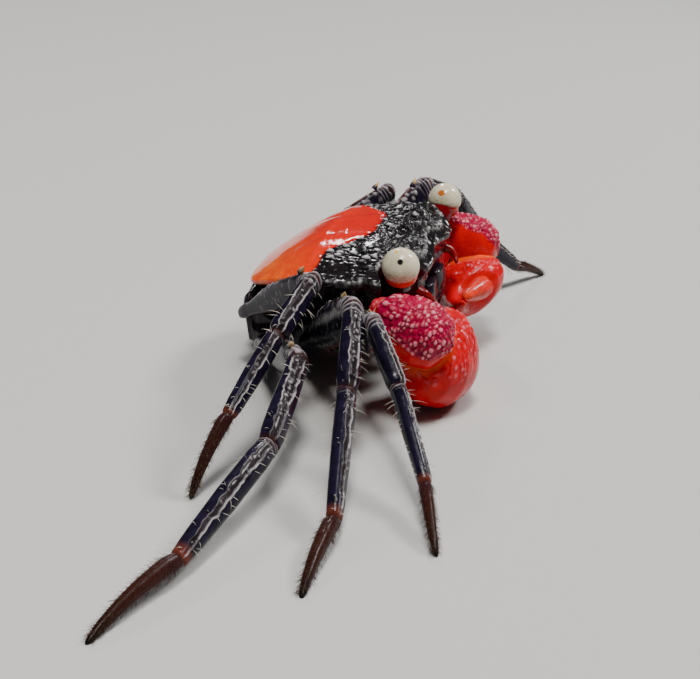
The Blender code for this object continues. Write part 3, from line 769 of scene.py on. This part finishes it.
def carapace():
    grid, kind, front = shell_rings()
    x, y = grid[..., 0], grid[..., 1]
    flank = climb(kind, 1.0, 0.15)
    border = orange_border(x) + 0.16 * noise(grid, 0.9, 5)
    patch = smooth((y - border) / 0.3 + 0.5) * (1 - flank)
    rough = smooth((border + 0.45 - y) / 0.7) * (1 - flank)
    face = front * climb(kind, 0.9, 0.05) * (kind < 1.5)
    near, far, label = cells(grid, (0.36, 0.62, 0.4), 3)
    scales = dome(near, 0.8) * smooth((far - near) / 0.3) * (0.15 + 0.85 * label)
    near, _, label = cells(grid, 0.33, 61)
    specks = dome(near, 0.7) * (label > 0.6)
    waves = noise(grid, 1.3, 9, 2)
    run = (y + 0.35 * np.sin(1.7 * x) + 0.3 * waves) / FURROW_SPACING
    lobes = smooth((-4.5 - y) / 0.4) * smooth((4.6 - np.abs(x)) / 0.5)
    furrows = bell(np.sin(run * 2 * math.pi), 0.45) * lobes
    relief = SCALE_HEIGHT * scales + SPECK_HEIGHT * specks + SWELL_HEIGHT * waves + FURROW_HEIGHT * furrows
    relief = relief * rough * (1 - 0.9 * face)
    relief += patch * (0.014 * noise(grid, 1.2, 12, 2) + 0.004 * noise(grid, 0.3, 13, 2))
    pits, _, label = cells(grid, 0.45, 21)
    relief -= patch * 0.014 * bell(pits, 0.22) * (label > 0.5)
    beads = bell(cells(grid, 0.3, 33)[0], 0.38)
    side_row = (1 - front) * smooth((-0.5 - y) / 1.0) * bell(kind - 1.0, 0.02)
    front_rows = front * (bell(kind - 0.905, 0.02) + bell(kind - 1.42, 0.05))
    relief += beads * (SIDE_BEAD_HEIGHT * side_row + FRONT_BEAD_HEIGHT * front_rows)
    relief += flank * (0.05 * noise(grid, 0.7, 14, 3) + 0.02 * specks * smooth((-2.0 - y) / 1.0))
    rearward = smooth((y + 3.6 + 0.35 * np.abs(x)) / 8.5)
    inland = smooth((6.3 - np.abs(x)) / 1.6)
    # Painted highlight: pale on the tops of the scales of the black front and on its rows of beads
    scale_top_highlight = rough * inland * smooth(scales * 3.2 - 1.6) * (0.35 + 0.65 * smooth(0.5 + 1.6 * waves))
    pale_crest_and_highlight = np.clip(0.8 * scale_top_highlight + 0.7 * beads * (side_row + front_rows), 0, 1)
    plum = smooth((0.25 + noise(grid, 1.1, 44, 2)) / 0.3) * flank * smooth((-3.0 - y) / 0.8) * 0.8
    cover("carapace_shell", "carapace", on_body(grid), relief, "carapace",
          {"patch": patch, "rearward": rearward, "pale_crest_and_highlight": pale_crest_and_highlight, "plum": plum})


def thorax():
    rings = []
    for t in np.linspace(0, 1, 70):
        y = THORAX_FRONT_Y + (THORAX_REAR_Y - THORAX_FRONT_Y) * t
        half = THORAX_HALF_WIDTH * (0.88 + 0.12 * smooth(t / 0.22)) - THORAX_SHELF * climb(y, 4.4, 0.4)
        upper = min(half, THORAX_HALF_WIDTH - THORAX_SHELF * climb(y, 2.2, 0.6))
        low = THORAX_BOTTOM_Z + 0.5 * smooth((0.2 - t) / 0.2) + 0.5 * climb(y, 3.9, 1.2)
        top = shell_bottom(y) + 0.1 - 0.5 * climb(y, 4.5, 0.7)
        profile = ((0.0, low), (0.45 * half, low + 0.03), (0.85 * half, low + 0.15), (half, low + 0.45),
                   (half, THORAX_SHELF_Z), (upper, THORAX_SHELF_Z + 0.5), (upper, top - 0.35),
                   (0.9 * upper, top), (0.0, top))
        right = [(x, y, z) for x, z in profile]
        left = [(-x, y, z) for x, _, z in reversed(right[1:-1])]
        rings.append(resample(np.array(right + left), 140))
    grid = np.array(rings)
    seams = bell(np.sin((grid[..., 1] + 0.4) * math.pi / 2.4), 0.18)
    seams *= smooth((np.abs(grid[..., 0]) - 1.4) / 1.0)
    relief = -0.15 * seams + 0.05 * noise(grid, 0.8, 40)
    cover("thorax_plates", "thorax", on_body(grid), relief, "under")


def pleon():
    route = spline(FLAP, 16)
    share = np.linspace(0, 1, len(route))[:, None]
    half = 1.75 - 0.3 * smooth(share / 0.5) - 0.95 * climb(share, 0.45, 0.55)
    joint = np.abs(np.sin(share * 6 * math.pi)) ** 0.35
    cap = np.sqrt(np.maximum(0.01, 1 - np.maximum(0.0, 1 - share / 0.04) ** 2))
    thick = np.cross((1, 0, 0), unit(np.gradient(route, axis=0)))
    angle = turn(48)
    wide = np.cos(angle) * half * (0.94 + 0.06 * joint) * cap
    high = np.sin(angle) * (FLAP_HALF_THICK + FLAP_SWELL * joint) * cap
    grid = route[:, None] + wide[..., None] * vec(1, 0, 0) + high[..., None] * thick[:, None]
    cover("tail_flap", "pleon", on_body(grid), 0.0, "under")


# Walking legs

def swung(sign, forward, rise):
    """Direction out to a side, swung forward and raised by these degrees."""
    forward, rise = math.radians(forward), math.radians(rise)
    flat = math.cos(rise)
    return vec(sign * math.cos(forward) * flat, -math.sin(forward) * flat, math.sin(rise))


def leg_joints(leg, side):
    sign = SIGNS[side]
    swings, rises = POSES[leg, side]
    lengths = LEGS[leg]["lengths"]
    points = [on_body(LEGS[leg]["root"], sign)]
    for length, swing, rise in zip(lengths, swings, rises):
        points.append(points[-1] + swung(sign, swing, rise) * length)
    last_rise = -math.degrees(math.asin(points[-1][2] / lengths[3]))
    points.append(points[-1] + swung(sign, swings[3], last_rise) * lengths[3])
    return points


def scaled(profile, size):
    return [(row[0], *(value * size for value in row[1:])) for row in profile]


BRISTLES = []
# For each segment: angles from the dorsal line of the rows that bear bristles, how many, their
# shortest and longest, their radius and their kind
BRISTLE_ROWS = {
    "merus": ((0.0, math.pi), 12, (0.2, 0.5), 0.012, "bristle"),
    "carpus": ((0.1, 1.4, math.pi, 2.6), 26, (0.35, 0.9), 0.018, "bristle"),
    "propodus": ((0.3, 1.4, math.pi, 3.6, -1.2), 56, (0.4, 1.0), 0.018, "bristle"),
    "dactylus": (None, 640, (0.18, 0.42), 0.011, "dark_bristle"),
}
# Lowest that a bristle's tip may hang over the floor
FLOOR_ROOM = 0.03
# The unwrap has this many cells each way, one for each leg segment
UNWRAP_CELLS = 6
PATCH_RADIUS = 0.001


def leg_relief(part, t, angle, local, size, seed):
    """How far the surface stands proud, and the colour fields, for one leg segment."""
    line = np.stack([local[..., 0], 0 * t, 0 * t + seed], -1)
    wiggle = noise(line, 0.42, seed, 2)
    wiggle_too = noise(line, 0.42, seed + 3, 2)
    lower = angle_gap(angle, math.pi)
    if part == "merus":
        relief = 0.02 * noise(local, 0.9, seed, 1)
        top = bell(angle_gap(angle, 0.06 * wiggle), 0.12)
        near, _, label = cells(local, (0.3, 0.46, 0.46), seed)
        granule = dome(near, 0.5) * (label > 0.45)
        dorsal = smooth((1.1 - np.abs(angle_gap(angle, 0.25))) / 0.6)
        grown = climb(t, 0.2, 0.1)
        relief += grown * (KEEL_HEIGHTS[0] * top + KEEL_HEIGHTS[1] * bell(lower, 0.14))
        relief += LEG_SCALE_HEIGHT * granule * (0.12 + 0.88 * dorsal) * grown
        # Pale crests on the granules and the top keel: partly their own paler colour, partly painted
        # highlight
        pale_crest_and_highlight = 0.6 * granule * (0.4 + 0.6 * dorsal) + 0.25 * top * smooth((wiggle_too + 0.2) / 0.4)
        pale_crest_and_highlight = grown * pale_crest_and_highlight
        strip = 0.6 * dorsal * climb(t, 0.5, 0.4)
        rim = 0.8 * bell(lower, 0.3) * climb(t, 0.2, 0.2)
        rim += 0.5 * bell(angle, 0.22) * climb(t, 0.55, 0.2)
        folded = climb(t, 0.88, 0.04) * smooth((1.9 - np.abs(angle_gap(angle, 0.5))) / 0.5)
    else:
        carpus = part == "carpus"
        relief = 0.02 * noise(local, 0.9, seed, 3)
        middle = smooth(t / 0.1) * smooth((1 - t) / 0.05)
        rear_line = angle_gap(angle, (0.12 + 0.35 * t if carpus else 0.42 + 0.4 * t) + 0.2 * wiggle)
        front_line = angle_gap(angle, 1.28 + 0.18 * wiggle_too)
        rear_mark = bell(rear_line, LEG_LINE_WIDTHS[0])
        front_mark = bell(front_line, LEG_LINE_WIDTHS[1])
        lines = rear_mark + front_mark
        between = smooth(rear_line / 0.12 + 0.5) * smooth(-front_line / 0.12 + 0.5)
        near, far, label = cells(local, (0.3, 0.42, 0.42), seed)
        scales = climb(far - near, 0.12, 0.2) * dome(near, 0.6) * (label > 0.3)
        marks = LEG_LINE_HEIGHT * lines - LEG_FACE_DEPTH * between + LEG_SCALE_HEIGHT * between * scales
        marks += 0.05 * bell(lower, 0.22) * (0.5 + 0.5 * noise(local, 0.3, seed + 5))
        relief += middle * (marks - 0.04 * bell(angle_gap(angle, -1.1), 0.5))
        broken = 0.25 + 0.75 * smooth((noise(line, 0.5, seed + 9, 2) + 0.25) / 0.4)
        # Pale crests on the two lines and the scales between them: partly their own paler colour, partly
        # painted highlight, strongest where lit
        lit = 1.0 if carpus else 0.35 + 0.65 * smooth((0.3 - t) / 0.3)
        pale_crest_and_highlight = 0.5 * lit * between * smooth(scales * 2 - 0.9) * smooth((0.9 - t) / 0.4)
        pale_crest_and_highlight = middle * (0.78 * (lit * rear_mark + front_mark) * broken + pale_crest_and_highlight)
        strip = np.clip(between + lines, 0, 1)
        rim = 0.0 if carpus else 0.7 * climb(t, 0.9, 0.06)
        folded = smooth((0.13 - t) / 0.05) if carpus else 0.6 * smooth((0.07 - t) / 0.04)
    curve = local[..., 0] + 0.16 * np.cos(angle_gap(angle, 0.6)) + 0.05 * wiggle
    rings = bell(np.sin(curve / (KNEE_RING_SPACING * size) * math.pi), 0.42)
    relief += KNEE_RING_HEIGHT * rings * folded
    # Painted highlight on the folds of the knee
    pale_crest_and_highlight += 0.62 * rings * folded * smooth((wiggle + 0.5) / 0.4)
    rim += 0.25 * climb(t, 0.95, 0.04) * (1 - 0.8 * folded) + 0.2 * smooth((0.05 - t) / 0.05)
    return relief, {"strip": strip, "rim": np.clip(rim, 0, 1), "pale_crest_and_highlight": np.clip(pale_crest_and_highlight, 0, 1)}


def leg_bristles(part, grid, normal, t, axis, cell):
    """Bristles along the margins of a leg segment; on the last one they stand all round."""
    rows, cols = grid.shape[:2]
    lines, count, reach, thick, kind = BRISTLE_ROWS[part]
    for _ in range(count):
        i = RNG.randrange(int(0.1 * rows), int(0.93 * rows))
        if lines is None:
            j = RNG.randrange(cols)
        else:
            j = int(round((RNG.choice(lines) + RNG.gauss(0, 0.1)) / (2 * math.pi) * cols)) % cols
        root, out = grid[i, j], normal[i, j]
        lean = RNG.uniform(0.1, 0.6) if lines else RNG.uniform(0.5, 1.3)
        direction = unit(out + axis * lean + np.array([RNG.gauss(0, 0.15) for _ in range(3)]))
        length = RNG.uniform(*reach) * (1.0 if RNG.random() < 0.6 else 0.6)
        bend = axis * RNG.uniform(0.0, 0.6)
        tip = root + (direction + bend) * length
        if tip[2] < FLOOR_ROOM:
            direction = direction * (1, 1, 0)
            bend = vec(0.0, 0.0, 0.2)
        radius = thick * RNG.uniform(0.8, 1.2)
        u, v = float(t[i, 0]), j / cols
        BRISTLES.append((root - out * 0.02, direction, length, bend, radius, (cell, u, v), kind))


def spine(name, base, direction, length, radius, flat):
    """A small pointed spine with a pale tip."""
    s = np.linspace(0, 1, 16)[:, None, None]
    side = unit(np.cross(direction, flat))
    ring = circle(turn(20), side, np.cross(side, direction))
    grid = base + direction * s * length + ring * (radius * (1 - s ** 1.6) + 0.02)
    skin(name, grid, "leg", {"pale": smooth(s[..., 0] * 2 - 0.4)})


def walking_leg(leg, side, number):
    points = leg_joints(leg, side)
    axes = [unit(b - a) for a, b in zip(points, points[1:])]
    cuts = [heading(SIGNS[side], 0, 0), *(unit(a + b) for a, b in zip(axes, axes[1:])), axes[3]]
    size = LEGS[leg]["size"]
    for i, (part, profile, rows, sides) in enumerate(LEG_PIECES):
        axis = axes[i]
        upright = np.cross(unit(np.cross(axis, (0, 0, 1))), axis)
        dorsal = upright * math.cos(LEG_LEAN) + vec(0, 1, 0) * math.sin(LEG_LEAN)
        if part == "merus":
            profile = scaled(profile, LEGS[leg]["blade"] / size)
        tip = part == "dactylus"
        grid, t, angle, local, up = limb(
            points[i], points[i + 1], dorsal, scaled(profile, size), cuts[i], cuts[i + 1], rows, sides,
            reach=(0.25, 0.0 if tip else 0.02), round_off=0.35 if tip else 0.3,
            arch=DACTYLUS_ARCH if tip else 0.0)
        seed = 50 + number * 8 + i
        if tip:
            relief = 0.02 * noise(local, 0.4, seed, 2)
            for line in (0.0, 1.57, 3.14, -1.57):
                relief += 0.03 * bell(angle_gap(angle, line + 0.4), 0.25) * (1 - t)
            look, fields = "dactylus", {"along": t}
        else:
            relief, fields = leg_relief(part, t, angle, local, size, seed)
            look = "leg"
        grid = grid + grid_normals(grid) * relief[..., None]
        grid[..., 2] = np.maximum(grid[..., 2], 0.0)
        obj = skin(f"{leg}_{part}_skin_{side}", grid, look, fields)
        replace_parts(obj, f"{leg}_{part}_{side}")
        leg_bristles(part, grid, grid_normals(grid), t, axis, number * 4 + i)
        if part == "merus":
            base = points[i + 1] - axis * 0.9 * size + up * 0.95 * size
            spine(f"{leg}_merus_spine_{side}", base, unit(axis + 0.35 * up), 0.75 * size, 0.2 * size, up)


# Chelipeds

def granular(local, seed, size=(0.25, 0.34, 0.34)):
    """Rounded grains in rows across the limb, between 0 and 1 high."""
    near, far, label = cells(local, size, seed)
    return np.sqrt(dome(near, 0.72)) * smooth((far - near) / 0.26) * (0.45 + 0.55 * label)


def distance_to(points, start, end, profile):
    """How far points lie outside a limb with this profile, in units of length."""
    axis = end - start
    share = np.clip((points - start) @ axis / axis.dot(axis), 0, 1)
    above, below, _ = interpolate(profile, share.ravel())
    radius = ((above + below) / 2).reshape(share.shape)
    return np.linalg.norm(points - start - share[..., None] * axis, axis=-1) - radius


def elbow_folds(name, centre, axis, up, seed):
    """A soft ring of skin folds."""
    s = np.linspace(0, 1, 10 * FOLD_COUNT)
    high = unit(up - axis * up.dot(axis))
    ring = circle(turn(72), high, np.cross(axis, high))
    middles = centre + np.outer(s - 0.5, axis)[:, None] * FOLDS_LENGTH
    wander = noise(middles + ring * (FOLDS_RADIUS + 0.01), 0.5, seed, 2)
    fold = np.abs(np.sin((s[:, None] + 0.06 * wander) * math.pi * FOLD_COUNT)) ** 0.6
    barrel = np.sqrt(np.clip(1 - (2 * s - 1) ** 2, 0.02, 1))[:, None]
    width = FOLDS_RADIUS * barrel * (0.9 + 0.1 * wander) + FOLD_HEIGHT * fold
    skin(name, middles + ring * width[..., None], "elbow")


def arm(side, root, elbow, bend, up, number):
    grid, t, _, local, _ = limb(root, elbow, up, ARM, heading(SIGNS[side], 0, 0), bend, 120, 96,
                                reach=(0.1, 0.0))
    bumps = granular(local, 200 + number)
    relief = ARM_GRAINS * bumps * climb(t, 0.4, 0.3) + 0.02 * noise(local, 0.6, 210 + number)
    # Faint painted glints on the tops of the grains
    cover(f"arm_skin_{side}", f"cheliped_merus_{side}", grid, relief, "claw",
          {"outer": 0.3, "pale_crest_and_highlight": 0.2 * bumps})


def wrist(side, elbow, knuckle, bend, up, number):
    sign = SIGNS[side]
    grid, t, _, local, _ = limb(elbow, knuckle, up, WRIST, bend, unit(knuckle - elbow), 170, 180, 0.95,
                                reach=(0.2, 0.0), round_off=0.6)
    normal = grid_normals(grid)
    bumps = granular(local, 220 + number)
    facing = normal @ heading(0.5 * sign, -0.5, 0.7)
    outer = smooth((facing - WRIST_BARE + 0.08 * noise(local, 0.6, 222)) / 0.14 + 0.5)
    if side == "left":
        # Its rear side has no grains
        outer *= smooth((0.35 - normal @ heading(0.0, 1.0, 0.1)) / 0.3 + 0.5)
    relief = WRIST_GRAINS * bumps * outer * smooth(t / 0.1) + 0.02 * noise(local, 1.0, 230 + number, 3)
    # Painted glints on the tops of the grains of the outer side
    cover(f"wrist_skin_{side}", f"cheliped_carpus_{side}", grid, relief, "claw",
          {"outer": outer * (1.0 - 0.3 * bumps), "pale_crest_and_highlight": 0.58 * outer * smooth(bumps * 2.4 - 1.1)})


def hand(side, elbow, knuckle, up, number):
    """The palm with its fixed finger, and the moving finger on it."""
    sign = SIGNS[side]
    size = HANDS[side]["size"]
    heel = on_body(HANDS[side]["heel"], sign)
    axis = heading(*swung(-sign, HANDS[side]["forward"], -HANDS[side]["down"]))
    high = unit(up - axis * up.dot(axis))
    inner = np.cross(high, axis)
    if inner[1] < 0:
        inner = -inner
    roll = math.radians(HANDS[side]["roll"])
    c, s = math.cos(roll), math.sin(roll)
    high, inner = high * c - inner * s, inner * c + high * s
    u = np.linspace(0, 1, 200)
    drop, above, below, thick = interpolate(HAND, u)
    cap = rounded(np.minimum(u, 1 - u) / 0.03)
    curl = FINGERS_CURL * np.maximum(0.0, (u - 0.5) / 0.5) ** 1.6
    centre = heel + (np.outer(HAND_LENGTH * u, axis) - np.outer(drop, high) + np.outer(curl, inner)) * size
    angle = turn(180)
    c, s = np.cos(angle), np.sin(angle)
    tall = np.where(c > 0, above[:, None], below[:, None]) * c * cap[:, None] * size
    wide = thick[:, None] * s * cap[:, None] * size
    grid = centre[:, None, :] + tall[..., None] * high + wide[..., None] * inner
    local = np.stack([np.broadcast_to(u[:, None] * HAND_LENGTH * size, tall.shape), tall, wide], -1)
    bumps = granular(local, 240 + number, PALM_GRAIN_SIZE)
    top = smooth((grid_normals(grid) @ heading(0.35 * sign, -0.35, 1.0) - 0.1) / 0.5)
    palm = smooth((0.62 - u) / 0.1)[:, None]
    away = distance_to(grid, elbow, knuckle, WRIST)
    beside = smooth(1.15 - away / 0.75) * palm
    wrinkles = np.abs(np.sin(away * 14 + 2.5 * noise(local, 0.8, 255)))
    relief = PALM_GRAINS * bumps * top * palm * size + 0.03 * noise(local, 1.2, 250 + number, 3)
    relief = relief * (1 - beside) - PALM_WRINKLES * beside * wrinkles
    # Beside the wrist the orange of the joint's skin, with painted glow shining through it; painted glints on
    # the grains of the palm's top
    cover(f"palm_skin_{side}", f"cheliped_palm_{side}", grid, relief, "claw",
          {"outer": 0.12 * top, "glow": beside * (0.5 + 0.5 * wrinkles),
           "pale_crest_and_highlight": 0.5 * top * palm * (1 - beside) * smooth(bumps * 2.4 - 1.3)})
    aside = inner * math.tan(math.radians(FINGER_TURN)) - high * math.tan(math.radians(FINGER_DROOP))
    along = unit(axis + aside)
    base = heel + (axis * HAND_LENGTH * FINGER_START + high * FINGER_RISE) * size
    grid, t, _, local, _ = limb(base, base + along * FINGER_LENGTH * size, high, scaled(FINGER, size), along,
                                along, 90, 60, reach=(0.1, 0.0))
    bumps = granular(local, 260 + number)
    relief = FINGER_GRAINS * bumps * smooth((0.6 - t) / 0.3)
    # Painted glow, light shining through the finger, stronger towards its tip, and faint painted glints on
    # its grains
    cover(f"finger_skin_{side}", f"cheliped_finger_{side}", grid, relief, "claw",
          {"glow": 0.2 + 0.3 * smooth(t * 2 - 1), "pale_crest_and_highlight": 0.1 * bumps})


def cheliped(side, number):
    up = heading(0, 0, 1)
    root = on_body(ARM_ROOT, SIGNS[side])
    elbow, knuckle = (on_body(point, SIGNS[side]) for point in WRISTS[side])
    wrist_axis = unit(knuckle - elbow)
    bend = unit(unit(elbow - root) + wrist_axis)
    arm(side, root, elbow, bend, up, number)
    elbow_folds(f"elbow_fold_{side}", elbow + wrist_axis * 0.12, bend, up, 270 + number)
    wrist(side, elbow, knuckle, bend, up, number)
    hand(side, elbow, knuckle, up, number)


# Head

def eye(side):
    sign = SIGNS[side]
    centre, root = on_body(CORNEA_CENTRE, sign), on_body(STALK_ROOT, sign)
    upward = heading(0.35 * sign, -0.15, 1.0)
    across = unit(np.cross(upward, (0.3, 1.0, 0.2)))
    polar = np.linspace(0.02, math.pi - 0.02, 72)[:, None, None]
    ring = circle(turn(96), across, np.cross(upward, across))
    direction = np.cos(polar) * upward + np.sin(polar) * ring

    def disc(towards, degrees):
        return smooth((direction @ heading(*towards) - math.cos(math.radians(degrees))) / 0.004 + 0.5)

    height = direction @ upward
    low = CUP_EDGE - height
    size = CORNEA_RADIUS * (1.0 - 0.05 * bell(low, 0.05) + CUP_SWELL * smooth(low / 0.35))
    cover(f"eye_{side}", f"cornea_{side}", centre + direction * size[..., None], 0.0, "cornea",
          {"band": smooth(low / 0.06 + 0.5), "spot": disc((0.9 * sign, -0.25, 0.62), 9.0),
           "gold": disc((0.35 * sign, 0.05, 1.0), 6.0) + disc((-0.75 * sign, 0.0, 0.65), 12.0),
           "inner": smooth(0.2 - direction @ heading(sign, -0.1, 0.0)),
           "low": smooth((0.55 - height) / 1.1)})
    axis = unit(centre - root)
    grid, t, _, local, _ = limb(root, centre - axis * 0.3, vec(0, 0, 1), STALK, axis, axis, 40, 48, 1.0,
                                reach=(0.4, 0.0))
    cover(f"stalk_{side}", f"eyestalk_{side}", grid, 0.03 * noise(local, 0.5, 300), "stalk",
          {"along": t})


def maxilliped(side):
    rows = np.array(MOUTH_PLATE)[::-1]
    z = np.linspace(rows[-1, 0], rows[0, 0], 60)[:, None]
    y, middle, half = (np.interp(z, rows[:, 0], rows[:, k]) for k in (1, 2, 3))
    angle = turn(64)
    x = middle + 0.15 + half * np.cos(angle)
    y = y + MOUTH_PLATE_HALF_THICK * np.sin(angle)
    grid = np.stack([x, y, np.broadcast_to(z, x.shape)], -1)
    groove = bell(z + 5.0 - 0.25 * np.cos(angle), 0.09)
    relief = -0.1 * groove + 0.03 * noise(grid, 0.5, 310)
    cover(f"mouth_plate_{side}", f"maxilliped_{side}", on_body(grid, SIGNS[side]), relief, "under")


def antenna(side):
    route = on_body(spline(FEELER, 10), SIGNS[side])
    ahead = unit(np.gradient(route, axis=0))
    up = unit(vec(0, 0, 1) - ahead * ahead[:, 2:])
    across = np.cross(up, ahead)
    radius = np.linspace(FEELER_ROOT_RADIUS, FEELER_TIP_RADIUS, len(route))
    radius *= 0.9 + 0.1 * np.abs(np.sin(1.3 * np.arange(len(route))))
    rings = [p + circle(turn(16), a, b) * r for p, a, b, r in zip(route, up, across, radius)]
    cover(f"feeler_{side}", f"antenna_{side}", np.array(rings), 0.0, "feeler")


def bristle_meshes():
    """Solid tapered bristles in two meshes; each has its own small patch in the skin's unwrap."""
    corners = ((0, 1), (1, 2), (2, 0))
    patch = circle(turn(3), (PATCH_RADIUS, 0), (0, PATCH_RADIUS))
    for kind in ("bristle", "dark_bristle"):
        verts, faces, uvs = [], [], []
        for root, direction, length, bend, radius, (cell, u, v), which in BRISTLES:
            if which != kind:
                continue
            side = unit(np.cross(direction, (0.31, 0.52, 0.8)))
            ring = circle(turn(3), side, np.cross(direction, side))
            base = len(verts)
            at = (vec(cell % UNWRAP_CELLS, cell // UNWRAP_CELLS) + 0.05 + 0.9 * vec(u, v)) / UNWRAP_CELLS
            for k in range(3):
                s = k / 3
                centre = root + direction * length * s + bend * length * s * s
                verts += list(centre + ring * radius * (1 - 0.75 * s))
                uvs += list(at + patch + vec(0, 0.5 * PATCH_RADIUS * s))
            verts.append(root + direction * length + bend * length)
            uvs.append(at + vec(0, 1.5 * PATCH_RADIUS))
            faces.append((base, base + 2, base + 1))
            for low in (base, base + 3):
                faces += [(low + a, low + b, low + b + 3, low + a + 3) for a, b in corners]
            faces += [(base + 6 + a, base + 6 + b, base + 9) for a, b in corners]
        verts = np.array(verts)
        verts[:, 2] = np.maximum(verts[:, 2], 0.0)
        make_object(f"setae_{kind}", verts, faces, kind, uv=uvs)


def dress():
    carapace()
    thorax()
    pleon()
    number = 0
    for side in ("right", "left"):
        for leg in LEGS:
            walking_leg(leg, side, number)
            number += 1
        cheliped(side, number)
        eye(side)
        maxilliped(side)
        antenna(side)
    bristle_meshes()


# Stage

def area_light(name, where, aim_z, size, power, colour):
    data = bpy.data.lights.new(name, "AREA")
    data.size = size
    data.energy = power
    data.color = colour
    obj = add_object(name, data)
    obj.location = where
    obj.rotation_euler = (Vector((0, 0, aim_z)) - Vector(where)).to_track_quat("-Z", "Y").to_euler()


def floor_look(tree, shader):
    set_shader(shader, Base_Color=FLOOR_COLOUR, Roughness=0.9, Specular_IOR_Level=0.0)


def stage():
    mesh = bpy.data.meshes.new("floor")
    r = FLOOR_REACH
    mesh.from_pydata([(-r, -r, 0), (r, -r, 0), (r, r, 0), (-r, r, 0)], [], [(0, 1, 2, 3)])
    floor = add_object("floor", mesh)
    mesh.materials.append(shade("floor_pale", floor_look))
    world = bpy.context.scene.world or bpy.data.worlds.new("world")
    bpy.context.scene.world = world
    world.use_nodes = True
    background = world.node_tree.nodes["Background"]
    background.inputs["Color"].default_value = WORLD_COLOUR
    background.inputs["Strength"].default_value = WORLD_STRENGTH
    for name, light in LIGHTS.items():
        area_light(name, *light)
    data = bpy.data.cameras.new("camera")
    data.lens = CAMERA_LENS
    data.sensor_width = 36
    data.clip_start = 0.005
    data.clip_end = 10
    camera = add_object("camera", data)
    camera.location = Vector(CAMERA_PLACE) * MM
    camera.rotation_euler = [math.radians(a) for a in CAMERA_TURN]
    bpy.context.scene.camera = camera


dress()
stage()
bpy.context.view_layer.update()
